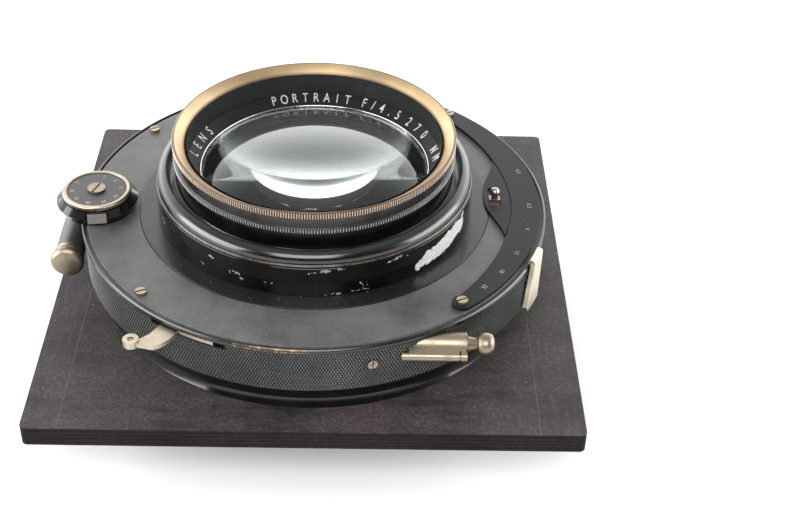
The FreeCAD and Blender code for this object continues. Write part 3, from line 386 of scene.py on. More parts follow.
def stained_wood(name, along):
    """Dark stained close-grained wood, its faint grain running along X or Y, rubbed and dusty."""
    s = Shader(name)
    scale = (0.12, 1.0, 1.0) if along == "X" else (1.0, 0.12, 1.0)
    grain_at = s.vector("MULTIPLY", s.mm, scale)
    grain = s.noise(0.5, 6, 0.68, vector=grain_at, distortion=0.6)
    pores = s.noise(2.6, 4, 0.7, vector=grain_at)
    cloud = s.noise(0.045, 5, 0.62)
    grit = s.noise(1.1, 5, 0.75)
    base = s.mix(s.ramp(grain, 0.35, 0.65), (0.018, 0.014, 0.015), (0.054, 0.043, 0.045))
    base = s.mix(s.ramp(cloud, 0.36, 0.62, 0.0, 0.8), base, (0.074, 0.062, 0.062))
    base = s.mix(s.ramp(s.noise(0.03, 4, 0.6), 0.50, 0.66, 0.0, 0.6), base, (0.058, 0.060, 0.052))
    base = s.mix(s.ramp(s.noise(0.045, 4, 0.6), 0.52, 0.68, 0.0, 0.6), base, (0.080, 0.046, 0.056))
    base = s.mix(s.ramp(grit, 0.42, 0.62, 0.6, 0.0), base, (0.014, 0.011, 0.011))
    base = s.mix(s.ramp(pores, 0.62, 0.72, 0.0, 0.5), base, (0.018, 0.014, 0.014))
    speck = s.math("GREATER_THAN", s.noise(0.75, 1), 0.79)
    base = s.mix(s.math("MULTIPLY", speck, 0.35), base, (0.34, 0.32, 0.30))
    plies = s.math("SINE", s.math("MULTIPLY", s.z, 5.2))
    layer = s.mix(s.ramp(plies, -0.2, 0.8), (0.004, 0.003, 0.003), (0.012, 0.009, 0.009))
    normal = s.add("ShaderNodeNewGeometry").outputs["Normal"]
    upright = s.add("ShaderNodeSeparateXYZ", Vector=normal).outputs["Z"]
    flat = s.ramp(s.math("ABSOLUTE", upright), 0.2, 0.8)
    base = s.mix(flat, s.mix(0.8, base, layer), base)
    for edge in (PANEL[0].x / MM + TONGUE, PANEL[1].x / MM - TONGUE):
        seam = s.ramp(s.math("ABSOLUTE", s.math("SUBTRACT", s.x, edge)), 0.06, 0.26, 0.22, 0.0)
        base = s.mix(s.math("MULTIPLY", seam, flat), base, (0.16, 0.14, 0.13))
    roughness = s.ramp(grain, 0.3, 0.7, 0.5, 0.66)
    height = s.math("SUBTRACT", s.math("MULTIPLY", grit, 0.7), s.ramp(pores, 0.6, 0.75))
    return s.surface(Base_Color=base, Roughness=roughness, Normal=s.bump(height, 0.3, 0.1),
                     Specular_IOR_Level=s.ramp(flat, 0.0, 1.0, 0.05, 0.25))


def chip_depth(point, spots, radius):
    """How deep a cylinder's wall is chipped at a point in mm: from 0 to 1, bare metal.

    A chip is a stroke from (angle, height) to (angle, height) with a half width, its edge ragged.
    Narrow chips are shallow.
    """
    k = math.radians(1) * radius
    here = Vector((math.degrees(math.atan2(point.y, point.x)) * k, point.z - BOARD, 0))
    ragged = 0.0
    for size, share in ((0.9, 0.55), (2.3, 0.35), (5.0, 0.2)):
        ragged += noise.noise(here * size) * share
    depth = 0.0
    for a0, z0, a1, z1, half in spots:
        start, run = Vector((a0 * k, z0, 0)), Vector(((a1 - a0) * k, z1 - z0, 0))
        t = max(0.0, min(1.0, (here - start).dot(run) / run.length_squared))
        if (here - start - run * t).length < half + ragged * 0.9 - 0.1:
            depth = max(depth, 1.0 if half > WIDE_CHIP else SHALLOW)
    return depth


def mark_chips(obj, spots, radius):
    """Stores the chips of a cylinder's wall at its vertices, as the attribute chip."""
    layer = obj.data.attributes.new("chip", "FLOAT", "POINT")
    for vertex, item in zip(obj.data.vertices, layer.data):
        p = vertex.co / MM
        item.value = chip_depth(p, spots, radius) if math.hypot(p.x, p.y) > radius - 0.4 else 0.0


# from (angle, height above the board), to (angle, height), half width
BARREL_CHIPS = (
    (-49.5, 24.9, -44.0, 26.6, 1.4), (-45.0, 26.2, -38.0, 26.2, 2.2),
    (-39.0, 26.4, -33.5, 27.2, 2.5), (-34.0, 26.8, -28.5, 27.9, 2.5),
    (-28.5, 28.0, -24.5, 27.4, 2.1), (-25.0, 28.8, -22.5, 30.2, 0.6),
    (-62.5, 29.9, -57.0, 30.4, 0.26), (-86.0, 30.3, -83.0, 30.2, 0.42),
    (-80.0, 30.6, -77.5, 30.6, 0.25), (-90.5, 29.6, -87.5, 29.9, 0.28),
    (-72.6, 25.6, -71.4, 24.7, 0.32), (-70.2, 25.5, -70.0, 24.6, 0.2),
    (-116.2, 26.4, -114.8, 26.2, 0.5), (-114.0, 25.0, -112.8, 25.1, 0.45),
    (-118.2, 26.2, -118.0, 25.6, 0.15), (-105.0, 25.8, -104.8, 24.4, 0.22),
    (-102.7, 25.8, -102.5, 25.2, 0.16), (-126.5, 28.6, -125.0, 28.2, 0.2),
    (-157.5, 28.0, -156.0, 26.5, 0.35), (-148.0, 28.6, -146.5, 28.0, 0.22),
    (-131.0, 25.0, -130.0, 24.6, 0.2), (-82.0, 23.2, -79.5, 23.0, 0.3),
    (-84.5, 22.9, -83.8, 22.9, 0.2), (-75.5, 23.4, -73.0, 23.2, 0.25),
    (-71.5, 23.4, -69.5, 23.2, 0.25), (-55.2, 30.0, -54.4, 29.9, 0.2),
    (20.0, 27.0, 24.0, 26.2, 0.5), (95.0, 26.0, 99.0, 27.0, 0.4), (150.0, 28.5, 153.0, 28.0, 0.35),
)
WIDE_CHIP, SHALLOW = 0.55, 0.45


def chipped_enamel(name):
    """Black enamel knocked off in places, down to bare pale alloy."""
    s = Shader(name)
    stored = s.add("ShaderNodeAttribute", {"attribute_name": "chip"})
    chips = s.ramp(stored.outputs["Fac"], 0.1, 0.9)
    marks = s.noise(1.3, 5, 0.7)
    black = s.mix(s.ramp(s.noise(0.25, 5, 0.7), 0.45, 0.75), (0.0015, 0.0015, 0.0015),
                  (0.0045, 0.0045, 0.0042))
    scuff = s.ramp(s.noise(0.7, 6, 0.75, vector=s.stretch(1, 1, 3)), 0.60, 0.70)
    foot = s.ramp(s.math("SUBTRACT", s.z, BOARD), 22.4, 25.0, 1.0, 0.0)   # scuffs gather there
    scuffed = s.math("MULTIPLY", s.math("MULTIPLY", scuff, foot), 0.5)
    black = s.mix(scuffed, black, (0.10, 0.10, 0.09))
    bare = s.mix(s.ramp(s.noise(1.8, 5, 0.7), 0.35, 0.65), (0.70, 0.71, 0.69), (0.46, 0.47, 0.46))
    roughness = s.math("ADD", s.math("MULTIPLY", chips, 0.4), s.ramp(marks, 0.35, 0.75, 0.07, 0.16))
    normal = s.bump(s.math("SUBTRACT", s.math("MULTIPLY", marks, 0.04), chips), 0.5, 0.08)
    return s.surface(Base_Color=s.mix(chips, black, bare), Roughness=roughness, Normal=normal,
                     Metallic=s.math("MULTIPLY", chips, 0.3), Specular_IOR_Level=0.35)


def knurled(name, crest_at, depth, valley, crest, rough=0.34, metallic=0.0, spread=0.5):
    """Knurl round the lens axis whose crests, at the radius crest_at, are rubbed paler."""
    s = Shader(name)
    rub = s.ramp(s.radius(), crest_at - depth * 0.75, crest_at - depth * 0.15)
    patch = s.ramp(s.noise(0.12, 4, 0.6), 0.3, 0.7, 1.0 - spread, 1.0)
    worn = s.math("MULTIPLY", rub, patch)
    fine = s.noise(2.5, 3)
    roughness = s.ramp(fine, 0.3, 0.7, rough - 0.06, rough + 0.08)
    return s.surface(Base_Color=s.mix(worn, valley, crest), Roughness=roughness,
                     Metallic=s.math("MULTIPLY", worn, metallic), Normal=s.bump(fine, 0.08, 0.03))


def worn_black(name, zones, rough=0.12, span=None, reach=0.0, shine=0.45):
    """Black enamel over brass. A zone is (low, high, amount) of wear, in height above the board.

    A span keeps the wear between two angles, and reach keeps it outside a radius.
    """
    s = Shader(name)
    height = s.math("SUBTRACT", s.z, BOARD)
    wear = None
    for low, high, amount in zones:
        part = s.math("MULTIPLY", s.band(height, low - 0.06, high + 0.06, 0.1), amount)
        wear = part if wear is None else s.math("MAXIMUM", wear, part)
    ragged = s.ramp(s.noise(0.5, 5, 0.7), 0.40, 0.60)
    wear = s.math("MULTIPLY", wear, ragged)
    if reach:
        wear = s.math("MULTIPLY", wear, s.ramp(s.radius(), reach, reach + 0.4))
    if span:
        wear = s.math("MULTIPLY", wear, s.band(s.angle(), *span, 1.5))
    black = s.mix(s.ramp(s.noise(0.15, 4), 0.4, 0.7), (0.0015, 0.0015, 0.0015),
                  (0.005, 0.0045, 0.004))
    brass = s.mix(s.ramp(s.noise(1.1, 4), 0.35, 0.7), (0.36, 0.22, 0.11), (0.14, 0.08, 0.04))
    marks = s.noise(1.6, 5, 0.7)
    roughness = s.ramp(marks, 0.35, 0.75, rough - 0.05, rough + 0.06)
    return s.surface(Base_Color=s.mix(wear, black, brass), Metallic=wear, Roughness=roughness,
                     Normal=s.bump(marks, 0.03, 0.03), Specular_IOR_Level=shine)


def clear_glass(name, ior):
    """Clear optical glass; light falls through it to the surfaces behind."""
    s = Shader(name)
    tint = s.mix(s.ramp(s.noise(0.02, 2), 0.3, 0.7), (0.965, 0.985, 0.975), (0.975, 0.99, 0.985))
    dust = s.math("MULTIPLY", s.math("GREATER_THAN", s.noise(0.55, 1), 0.80), 0.35)
    body = s.add("ShaderNodeBsdfGlass", Color=tint, IOR=ior, Roughness=0.0)
    speck = s.add("ShaderNodeBsdfDiffuse", Color=(0.12, 0.12, 0.11))
    glass = s.add("ShaderNodeMixShader", Fac=dust)
    s.put(glass.inputs[1], body)
    s.put(glass.inputs[2], speck)
    clear = s.add("ShaderNodeBsdfTransparent", Color=(0.93, 0.95, 0.94))
    path = s.add("ShaderNodeLightPath")
    out = s.add("ShaderNodeMixShader", Fac=path.outputs["Is Shadow Ray"])
    s.put(out.inputs[1], glass.outputs[0])
    s.put(out.inputs[2], clear)
    end = s.add("ShaderNodeOutputMaterial")
    s.put(end.inputs["Surface"], out.outputs[0])
    return s.material


def paint(name, colour, worn):
    """Paint filling engraved characters, partly rubbed out."""
    s = Shader(name)
    gone = s.ramp(s.noise(1.4, 4, 0.7), 0.5 - worn * 0.3, 0.75)
    tone = s.mix(s.math("MULTIPLY", gone, 0.75), colour, tuple(c * 0.2 for c in colour))
    return s.surface(Base_Color=tone, Roughness=0.6)


M = {
    "plate": lacquer("satin_black_plate", 0.030, 0.100, 0.46),
    "scale": lacquer("satin_black_scale", 0.006, 0.016, 0.44, shine=0.15),
    "lacquer": lacquer("satin_black_lacquer", 0.02, 0.035, 0.34),
    "ring": lacquer("smooth_black_ring", 0.008, 0.013, 0.22, brushed=0.08),
    "knurl": knurled("worn_black_knurl", DRUM_R + 0.34, 0.3, (0.006, 0.006, 0.006),
                     (0.15, 0.15, 0.147)),
    "enamel": enamel("gloss_black_enamel"),
    "casing": enamel("gloss_black_casing", 0.08),
    "barrel": chipped_enamel("chipped_black_enamel"),
    "cell": worn_black("black_over_brass", ((31.5, 31.8, 0.34), (32.35, 32.5, 0.3)), 0.2,
                       reach=41.5, shine=0.75),
    "collar": knurled("black_knurl_collar", COLLAR_R, 0.2, (0.002, 0.002, 0.002),
                      (0.90, 0.88, 0.84), 0.2, 0.7, 0.25),
    "lip": worn_black("black_lip_over_brass", ((21.1, 21.5, 1.0), (21.75, 22.05, 0.9)), 0.26,
                      (-106.8, -88.6), shine=0.6),
    "rim": turned_brass("aged_brass_rim"),
    "rim_knurl": knurled("dark_knurl_rim", RIM_R, 0.2, (0.008, 0.005, 0.003),
                         (0.85, 0.66, 0.50), 0.26, 0.5, 0.25),
    "brass": metal("aged_brass", (0.40, 0.30, 0.19), (0.20, 0.14, 0.09), 0.36, 0.6),
    "bright": metal("bright_nickel_edge", (0.40, 0.34, 0.27), (0.30, 0.23, 0.17),
                    0.28, 0.4, 0.1, 0.4),
    "bezel": metal("polished_bezel", (0.62, 0.61, 0.58), (0.3, 0.28, 0.25), 0.1, 0.3, 0.05, 0.3),
    "tube": metal("bare_alloy_tube", (0.45, 0.45, 0.44), (0.3, 0.3, 0.29), 0.22, 0.3, 0.05, 0.2),
    "index": metal("rubbed_index_pad", (0.20, 0.19, 0.18), (0.12, 0.11, 0.10),
                   0.34, 0.4, 0.1, 0.4),
    "nickel": metal("worn_nickel", (0.50, 0.44, 0.34), (0.34, 0.28, 0.19), 0.34, 0.45, 0.06, 0.7),
    "pale_nickel": metal("rubbed_nickel", (0.66, 0.59, 0.46), (0.46, 0.39, 0.29),
                         0.34, 0.4, 0.06, 0.7),
    "dim_nickel": metal("dull_nickel", (0.27, 0.23, 0.17), (0.19, 0.15, 0.11),
                        0.34, 0.45, 0.06, 0.7),
    "screw": metal("tarnished_screw", (0.36, 0.30, 0.22), (0.18, 0.14, 0.10), 0.36, 0.6),
    "socket": metal("brown_nickel", (0.32, 0.27, 0.20), (0.22, 0.17, 0.12), 0.36, 0.4, 0.05, 0.7),
    "knob": metal("rubbed_nickel_knob", (0.42, 0.32, 0.26), (0.26, 0.18, 0.13), 0.3, 0.5),
    "steel": metal("dull_steel", (0.34, 0.30, 0.26), (0.16, 0.13, 0.11), 0.36, 0.5),
    "blade": metal("blued_steel", (0.10, 0.11, 0.13), (0.05, 0.05, 0.055), 0.38, 0.5, 0.1),
    "matte": lacquer("matte_black_inside", 0.005, 0.009, 0.5, dust=False, brushed=0.05,
                     shine=0.3),
    "name": lacquer("name_ring_black", 0.006, 0.011, 0.4, dust=False, brushed=0.1, shine=0.15),
    "dial": lacquer("worn_black_dial", 0.018, 0.034, 0.42, brushed=0.1),
    "wood": stained_wood("stained_wood_panel", "X"),
    "cleat": stained_wood("stained_wood_cleat", "Y"),
    "letters": paint("white_lettering", (0.52, 0.52, 0.50), 0.3),
    "marks": paint("worn_scale_marks", (0.34, 0.33, 0.29), 0.7),
    "dial_marks": paint("worn_dial_marks", (0.50, 0.38, 0.20), 0.35),
    "glass": clear_glass("optical_glass", 1.60),
    "flint": clear_glass("optical_glass_inner", 1.55),
}

# nodes that aren't listed are matte black; the leaves of iris and shutter are blued steel
NODE_LOOK = {
    "board_panel": "wood", "board_cleats": "cleat", "retaining_ring": "brass",
    "shutter_back": "casing", "side_screw": "steel", "face_screws": "screw",
    "aperture_scale": "scale", "aperture_pointer": "scale", "pointer_knob": "knob",
    "aperture_link": "steel", "iris_cam_ring": "brass", "shutter_drive_ring": "steel",
    "dial_base": "enamel", "dial_index": "index", "dial_screw": "dim_nickel",
    "speed_cam": "steel", "brake_cylinder": "lacquer", "brake_piston": "brass",
    "cocking_ring": "steel", "cocking_lever": "pale_nickel", "main_spring": "steel",
    "release_lever": "nickel", "release_spring": "steel", "release_socket": "socket",
    "front_spacer": "tube", "rear_cell": "enamel",
}
for node_name, obj in NODES.items():
    look = "blade" if "_blade_" in node_name else NODE_LOOK.get(node_name, "matte")
    obj.data.materials.clear()
    obj.data.materials.append(M[look])
for node_name, width in (("board_panel", 0.35), ("board_cleats", 0.35), ("aperture_scale", 0.22),
                         ("aperture_pointer", 0.18), ("cocking_lever", 0.2),
                         ("release_lever", 0.18),
                         ("release_socket", 0.12), ("dial_base", 0.2), ("face_screws", 0.1)):
    bevel(NODES[node_name], width)


# ---------------------------------------------------------------- camera
def place_camera():
    """Camera in front of the lens, 37 degrees above the board and slightly rolled."""
    azimuth, elevation, roll = (math.radians(a) for a in (-1.37, 37.14, 1.74))
    back = Vector((math.sin(azimuth) * math.cos(elevation),
                   -math.cos(azimuth) * math.cos(elevation), math.sin(elevation)))
    right = (-back).cross(Z_AXIS).normalized()
    up = right.cross(-back)
    x = right * math.cos(roll) + up * math.sin(roll)
    y = up * math.cos(roll) - right * math.sin(roll)
    data = bpy.data.cameras.new("camera")
    data.sensor_width = 36.0
    data.lens = 65.29
    data.clip_start = 0.01
    cam = bpy.data.objects.new("camera", data)
    rotation = Matrix((x, y, back)).transposed().to_4x4()
    cam.matrix_world = Matrix.Translation((0.0140, -0.3217, 0.2453 + BOARD * MM)) @ rotation
    bpy.context.scene.collection.objects.link(cam)
    bpy.context.scene.camera = cam


place_camera()


# ---------------------------------------------------------------- shutter
def drum_keep(angle, z):
    """Where the drum's wall is knurled: not at its slots, its screw or the brake's seat."""
    a = angle - 360 if angle > 180 else angle
    h = z - BOARD
    x = DRUM_R * math.cos(math.radians(a))
    y = DRUM_R * math.sin(math.radians(a))
    for start, stop, low, high in (RELEASE_SLOT, COCK_SLOT):
        if start < a < stop and low < h < high:
            return False
    screw_a, screw_h, screw_r = SIDE_SCREW
    if abs(math.radians(a - screw_a)) * DRUM_R < screw_r and abs(h - screw_h) < screw_r:
        return False
    seat_x, seat_h, seat_r, y0, y1 = BRAKE_SEAT
    return not (y0 < y < y1 and x < 0 and math.hypot(x - seat_x, h - seat_h) < seat_r)


piece(diamond_knurl("drum_knurl", DRUM_R + 0.36, BOARD + 8.75, BOARD + 20.65, DRUM_TEETH,
                    DRUM_ROWS, 0.34, drum_keep),
      "case", "black_lacquer", M["knurl"])
piece(lathe("drum_lip", [(62.36, FACE - 1.55), (62.95, FACE - 1.55), (63.13, FACE - 1.25),
                         (63.13, FACE - 0.45), (62.75, FACE + 0.02), (62.36, FACE + 0.02)],
            edge=0.15),
      "case", "black_lacquer", M["lip"])
piece(lathe("casing_skin", [(CASE_R - 1.7, BOARD + 0.02), (CASE_R + 1.05, BOARD + 0.02),
                            (CASE_R + 1.15, BOARD + 0.12), (CASE_R + 0.07, BOARD + 2.25),
                            (CASE_R, BOARD + 2.6), (CASE_R, BOARD + 8.7),
                            (CASE_R - 1.7, BOARD + 8.7)], edge=0.1),
      "case", "black_enamel", M["casing"])
piece(lathe("face_plate_smooth", [(47.66, FACE - 1.6), (62.25, FACE - 1.6), (62.25, FACE - 0.5),
                                  (61.75, FACE - 0.5), (61.5, FACE), (47.66, FACE)], edge=0.1),
      "case", "black_lacquer", M["plate"], "face_plate")
piece(lathe("aperture_ring_smooth", [(36.96, FACE - 1.4), (47.6, FACE - 1.4), (47.6, FACE + 0.2),
                                     (36.96, FACE + 0.2)], edge=0.08),
      "aperture_control", "black_lacquer", M["ring"], "aperture_ring")

# ---------------------------------------------------------------- front barrel and cell
# the barrel's wall is cut fine enough to hold the chips at its vertices
wall_low, wall_high, wall_rows = FACE + 0.35, BARREL_TOP - 0.12, 38
wall = [(BARREL_R, wall_low + (wall_high - wall_low) * k / wall_rows)
        for k in range(wall_rows + 1)]
barrel = lathe("front_barrel_smooth", [(NECK_R, FACE + 0.25), (42.5, FACE + 0.25)] + wall
               + [(42.5, BARREL_TOP), (34.05, BARREL_TOP), (34.05, BARREL_TOP - 4.0),
                  (NECK_R, BARREL_TOP - 4.0)], segments=1200, edge=0)
mark_chips(barrel, BARREL_CHIPS, BARREL_R)
piece(barrel, "case", "alloy", M["barrel"], "front_barrel")

CELL_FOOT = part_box("front_cell")[0].z / MM
CELL_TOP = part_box("front_cell")[1].z / MM
NAME_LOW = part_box("name_ring")[0].z / MM
b = BARREL_TOP
cell = ([(29.3, CELL_FOOT), (34.0, CELL_FOOT), (34.0, b), (42.5, b)]
        + [(42.5, b + 0.65), (42.2, b + 0.85), (42.2, b + 1.15)]
        + arc((42.3, b + 1.35), (41.55, b + 3.15), (39.9, b + 3.95), 20)
        + [(39.55, b + 3.75), (39.3, b + 2.4), (38.8, b + 1.6), (37.4, b + 1.4)]
        + [(NECK_R, b + 1.9), (NECK_R, CELL_TOP), (35.95, CELL_TOP), (35.95, NAME_LOW - 0.05),
           (GLASS_SEAT_R, NAME_LOW - 0.05), (GLASS_SEAT_R, CELL_FOOT + 1.2),
           (29.3, CELL_FOOT + 1.2)])
piece(lathe("front_cell_smooth", cell, edge=0.14), "case", "black_enamel", M["cell"], "front_cell")
piece(lathe("knurled_collar_smooth", [(NECK_R, BOARD + 38.0), (37.4, BOARD + 38.0),
                                      (37.4, BOARD + 39.3), (37.2, BOARD + 39.45),
                                      (37.2, CELL_TOP), (NECK_R, CELL_TOP)], edge=0.05),
      "case", "black_enamel", M["cell"], "knurled_collar")
piece(straight_knurl("collar_knurl", COLLAR_R, BOARD + 38.02, BOARD + 39.25, COLLAR_TEETH, 0.36),
      "case", "black_enamel", M["collar"])
piece(lathe("front_rim_smooth", [(RECESS_R, BOARD + 36.5), (BORE_R, BOARD + 36.5),
                                 (BORE_R, CELL_TOP), (37.42, CELL_TOP), (37.42, TOP - 0.15),
                                 (37.25, TOP), (37.05, TOP), (34.35, TOP - 2.2),
                                 (RECESS_R, TOP - 2.9)], edge=0.08),
      "case", "brass_bare", M["rim"], "front_rim")
piece(straight_knurl("rim_knurl", RIM_R, CELL_TOP + 0.02, TOP - 0.2, RIM_TEETH, 0.28),
      "case", "brass_bare", M["rim_knurl"])
piece(lathe("rim_bore_black", [(33.86, BOARD + 36.55), (RECESS_R, BOARD + 36.55),
                               (RECESS_R, CELL_TOP - 0.02), (33.86, CELL_TOP - 0.02)], edge=0),
      "case", "black_matte", M["matte"])
piece(lathe("name_ring_smooth", [(RING_R, NAME_LOW + 0.27), (GLASS_SEAT_R, NAME_LOW),
                                 (BORE_R, NAME_LOW), (BORE_R, BOARD + 36.4),
                                 (RECESS_R, BOARD + 36.4), (GLASS_SEAT_R, BOARD + 34.3),
                                 (RING_R, BOARD + 33.8)], edge=0.08),
      "case", "black_matte", M["name"], "name_ring")

# the bezel is a thin wire round the glass
wire_steps, wire_r = 16, 0.24
wire_turns = [2 * math.pi * k / wire_steps for k in range(wire_steps)]
wire = [(30.62 + wire_r * math.cos(t), BOARD + 34.0 + wire_r * math.sin(t)) for t in wire_turns]
piece(lathe("glass_bezel", wire, edge=0), "case", "nickel", M["bezel"])


# ---------------------------------------------------------------- glass
def sag(curve, r):
    """How far a face with this radius of curvature falls back at a distance r from the axis."""
    return curve - math.sqrt(curve ** 2 - r ** 2)


def element(name, node, low, high, z_low, z_high, material):
    """Lens element, its faces' radii of curvature positive where the face bulges."""
    steps = 24
    radii = [GLASS_R * k / steps for k in range(steps + 1)]
    lower = [(r, z_low + math.copysign(sag(abs(low), r), low)) for r in radii]
    upper = [(r, z_high - math.copysign(sag(abs(high), r), high)) for r in radii[::-1]]
    obj = lathe(name, lower + upper, segments=192, edge=0)
    return piece(obj, "case", "optical_glass", material, node)


STRONG, WEAK = 85, 200                 # curves of the outer glasses
HOLLOW_OUT, HOLLOW_IN = -140, -180     # curves of the inner glasses
INNER_DEPTH = 3                        # of an inner glass, at its middle
FRONT_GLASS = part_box("front_glass")
REAR_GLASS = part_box("rear_glass")
INNER_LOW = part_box("front_inner_glass")[0].z / MM + sag(-HOLLOW_OUT, GLASS_R)
REAR_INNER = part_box("rear_inner_glass")[0].z / MM + sag(-HOLLOW_IN, GLASS_R)
element("front_glass_clear", "front_glass", WEAK, STRONG,
        FRONT_GLASS[0].z / MM, FRONT_GLASS[1].z / MM, M["glass"])
element("front_inner_glass_clear", "front_inner_glass", HOLLOW_OUT, HOLLOW_IN,
        INNER_LOW, INNER_LOW + INNER_DEPTH, M["flint"])
element("rear_inner_glass_clear", "rear_inner_glass", HOLLOW_IN, HOLLOW_OUT,
        REAR_INNER, REAR_INNER + INNER_DEPTH, M["flint"])
element("rear_glass_clear", "rear_glass", STRONG, WEAK,
        REAR_GLASS[0].z / MM, REAR_GLASS[1].z / MM, M["glass"])


# ---------------------------------------------------------------- dial, brake and release parts
DIAL = (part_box("speed_dial")[0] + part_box("speed_dial")[1]) / 2 / MM
DIAL_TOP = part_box("speed_dial")[1].z / MM
dial_at = (DIAL.x, DIAL.y, 0)
piece(lathe("speed_dial_smooth", [(1.46, DIAL_TOP - 1.3), (8.9, DIAL_TOP - 1.3),
                                  (8.9, DIAL_TOP - 0.25), (8.75, DIAL_TOP), (8.0, DIAL_TOP),
                                  (7.85, DIAL_TOP - 0.5), (1.46, DIAL_TOP - 0.5)],
            160, 0.08, dial_at),
      "dial", "nickel", M["bright"], "speed_dial")
piece(straight_knurl("dial_knurl", DIAL_R, DIAL_TOP - 1.28, DIAL_TOP - 0.2, DIAL_TEETH, 0.22,
                     dial_at[:2]),
      "dial", "nickel", M["bright"])
piece(lathe("dial_face_smooth", [(1.6, DIAL_TOP - 0.5), (7.84, DIAL_TOP - 0.5),
                                 (7.84, DIAL_TOP - 0.2), (1.6, DIAL_TOP - 0.2)],
            128, 0.04, dial_at),
      "dial", "black_lacquer", M["dial"], "dial_face")

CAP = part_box("brake_cap")
cap_centre = (CAP[0] + CAP[1]) / 2 / MM
cap_front = CAP[0].y / MM
piece(lathe("brake_cap_smooth", [(0, 0.0), (2.6, 0.05), (3.7, 0.35), (4.35, 1.0), (4.5, 1.7),
                                 (4.4, 2.45), (3.3, 2.7), (3.25, 3.4), (3.95, 3.45),
                                 (3.95, 4.9), (3.0, 4.9), (0, 4.9)],
            96, 0.12, (cap_centre.x, cap_front, cap_centre.z), Y_AXIS),
      "case", "nickel", M["dim_nickel"], "brake_cap")

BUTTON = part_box("release_plunger")
button_centre = (BUTTON[0] + BUTTON[1]) / 2 / MM
button_end = BUTTON[1].x / MM
button_length = (BUTTON[1].x - BUTTON[0].x) / MM
button_head = (arc((1.0, 0.0), (2.33, 0.57), (2.9, 1.9), 6)
               + arc((2.9, 2.7), (2.33, 4.03), (1.0, 4.6), 6))
piece(lathe("release_button_smooth", [(0, 0)] + button_head[:-3]
            + [(1.52, 4.5), (2.06, 6.75), (1.0, 6.8), (1.0, button_length), (0, button_length)],
            96, 0.1, (button_end, button_centre.y, button_centre.z), -X_AXIS),
      "button", "nickel", M["dim_nickel"], "release_plunger")


# ---------------------------------------------------------------- lettering
def glyph(character, size, matrix, store, bold=0.0, width=1.0):
    """Adds one character, with its place given in mm, to a list of meshes."""
    curve = bpy.data.curves.new("glyph", "FONT")
    curve.body = character
    curve.size = size
    curve.align_x = "CENTER"
    curve.align_y = "CENTER"
    curve.extrude = 0.008
    curve.offset = bold
    holder = bpy.data.objects.new("glyph", curve)
    bpy.context.scene.collection.objects.link(holder)
    bpy.context.view_layer.update()
    mesh = bpy.data.meshes.new_from_object(holder)
    bpy.data.objects.remove(holder)
    mesh.transform(Matrix.Scale(MM, 4) @ matrix @ Matrix.Diagonal((width, 1.0, 1.0, 1.0)))
    store.append(mesh)


def joined(name, meshes):
    """One object from several meshes."""
    bm = bmesh.new()
    for mesh in meshes:
        bm.from_mesh(mesh)
    merged = bpy.data.meshes.new(name)
    bm.to_mesh(merged)
    bm.free()
    return new_object(name, merged)


def seat(origin, x, y):
    """Matrix that puts a character's plane at origin with its reading direction x and top y."""
    x, y = x.normalized(), y.normalized()
    return Matrix.Translation(origin) @ Matrix((x, y, x.cross(y))).transposed().to_4x4()


def ring_text():
    """White engraved characters on the sloping ring round the glass."""
    slope = Vector((2.6, 2.1)).normalized()      # outwards and up, along the ring's cone
    middle, height = 32.62, BOARD + 35.40
    out = []
    for text, start, stop in (("PORTRAIT", 113.0, 75.5), ("F/4.5", 66.6, 46.4),
                              ("270 MM", 38.5, 4.0), ("LENS", 176.0, 155.0)):
        step = (stop - start) / (len(text) - 1)
        for k, character in enumerate(text):
            a = math.radians(start + step * k)
            radial = Vector((math.cos(a), math.sin(a), 0))
            mid = radial * middle
            mid.z = height
            along = Vector((math.sin(a), -math.cos(a), 0))
            up = radial * slope.x + Z_AXIS * slope.y
            glyph(character, 3.9, seat(mid, along, up), out, 0.006, 0.72)
    return joined("ring_lettering", out)


piece(ring_text(), "case", "black_matte", M["letters"])


def scale_text():
    """Faint stop numbers on the crescent scale, read from outside."""
    middle, height = 58.6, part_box("aperture_scale")[1].z / MM + 0.006
    out = []
    for text, angle in (("4,5", 14.4), ("6,3", -2.2), ("9", -13.0), ("12", -24.0), ("18", -33.0),
                        ("25", -41.0)):
        a = math.radians(angle)
        radial = Vector((math.cos(a), math.sin(a), 0))
        at = radial * middle
        at.z = height
        glyph(text, 1.7, seat(at, Vector((math.sin(a), -math.cos(a), 0)), radial), out)
    return joined("scale_numbers", out)


piece(scale_text(), "case", "black_lacquer", M["marks"])


def dial_text():
    """Worn speed numbers round the dial's face."""
    middle = 6.4
    out = []
    for k, text in enumerate(("1", "2", "5", "10", "25", "50", "75", "B", "T")):
        a = math.radians(80 - 36 * k)
        radial = Vector((math.cos(a), math.sin(a), 0))
        at = Vector((DIAL.x, DIAL.y, 0)) + radial * middle
        at.z = DIAL_TOP - 0.19
        glyph(text, 1.5, seat(at, Vector((math.sin(a), -math.cos(a), 0)), radial), out)
    return joined("dial_numbers", out)


piece(dial_text(), "dial", "black_lacquer", M["dial_marks"])


# ---------------------------------------------------------------- floor and light
WORLD_LOW = 2.4        # radiance of the sides and the back near the horizon
WORLD_BACK = 1.7       # how much brighter the back is than the sides
WORLD_HIGH = 0.2       # what the sides and the back add overhead
FRONT_LOW = 0.1        # radiance behind the camera
FRONT_HIGH = 0.55      # radiance overhead
LENS_MIDDLE = Vector((0, 0, 0.05))


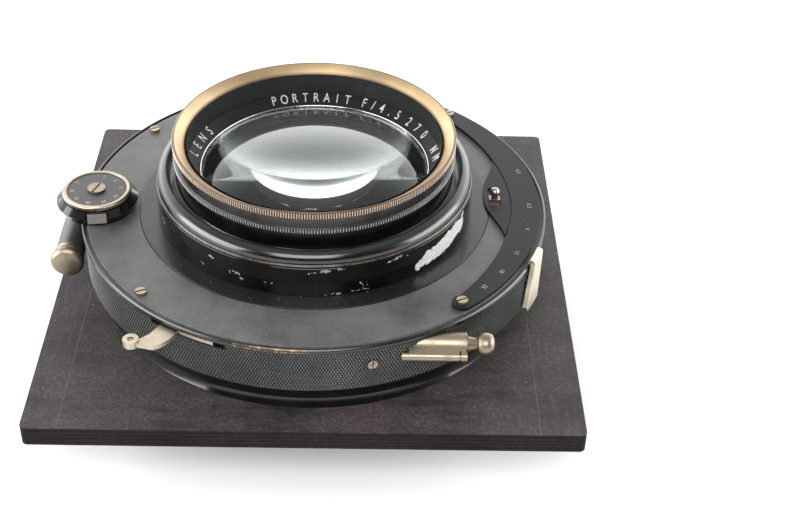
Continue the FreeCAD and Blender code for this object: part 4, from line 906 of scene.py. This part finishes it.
def build_stage():
    """Large pale floor just under the lens, left out of the piece list."""
    mesh = bpy.data.meshes.new("floor")
    size = 3.0
    low = -0.00002
    corners = [(-size, -size, low), (size, -size, low), (size, size, low), (-size, size, low)]
    mesh.from_pydata(corners, [], [(0, 1, 2, 3)])
    floor = new_object("floor", mesh)
    s = Shader("pale_floor")
    tone = s.mix(s.noise(0.004, 2), (0.76, 0.76, 0.76), (0.79, 0.79, 0.79))
    mesh.materials.append(s.surface(Base_Color=tone, Roughness=0.65))


def area_light(name, place, size, power):
    """Rectangular lamp aimed at the middle of the lens."""
    data = bpy.data.lights.new(name, "AREA")
    data.shape = "RECTANGLE"
    data.size, data.size_y = size
    data.energy = power
    lamp = bpy.data.objects.new(name, data)
    lamp.location = place
    lamp.rotation_euler = (LENS_MIDDLE - Vector(place)).to_track_quat("-Z", "Y").to_euler()
    bpy.context.scene.collection.objects.link(lamp)


def studio_world():
    """Bright pale surroundings low at the sides and the back, dark behind the camera."""
    world = bpy.data.worlds.new("studio")
    world.use_nodes = True
    tree = world.node_tree
    background = tree.nodes["Background"]
    background.inputs[0].default_value = (0.98, 0.99, 1.0, 1.0)

    def node(kind, **settings):
        made = tree.nodes.new(kind)
        for key, value in settings.items():
            setattr(made, key, value)
        return made

    def smooth(socket, low, high, out_low, out_high):
        made = node("ShaderNodeMapRange", interpolation_type="SMOOTHSTEP")
        tree.links.new(socket, made.inputs[0])
        for index, value in enumerate((low, high, out_low, out_high), 1):
            made.inputs[index].default_value = value
        return made.outputs[0]

    def combine(kind, a, b):
        made = node("ShaderNodeMath", operation=kind)
        tree.links.new(a, made.inputs[0])
        tree.links.new(b, made.inputs[1])
        return made.outputs[0]

    split = node("ShaderNodeSeparateXYZ")
    tree.links.new(node("ShaderNodeTexCoord").outputs["Generated"], split.inputs[0])
    behind = smooth(split.outputs["Y"], -0.7, 0.1, 0.0, 1.0)
    low = smooth(split.outputs["Z"], 0.25, 0.85, WORLD_LOW, WORLD_HIGH)
    above = smooth(split.outputs["Z"], 0.6, 0.9, FRONT_LOW, FRONT_HIGH)
    back = smooth(split.outputs["Y"], 0.15, 0.75, 1.0, WORLD_BACK)
    strength = combine("ADD", combine("MULTIPLY", combine("MULTIPLY", behind, back), low), above)
    tree.links.new(strength, background.inputs[1])
    bpy.context.scene.world = world


def light_stage():
    studio_world()
    area_light("front_softbox", (-0.08, -0.87, 0.86), (0.80, 0.70), 12.0)
    area_light("left_softbox", (-1.06, -0.30, 0.38), (1.10, 0.74), 20.0)
    area_light("right_softbox", (1.10, 0.0, 0.30), (1.00, 0.62), 11.0)
    bpy.context.scene.view_settings.view_transform = "Standard"


build_stage()
light_stage()
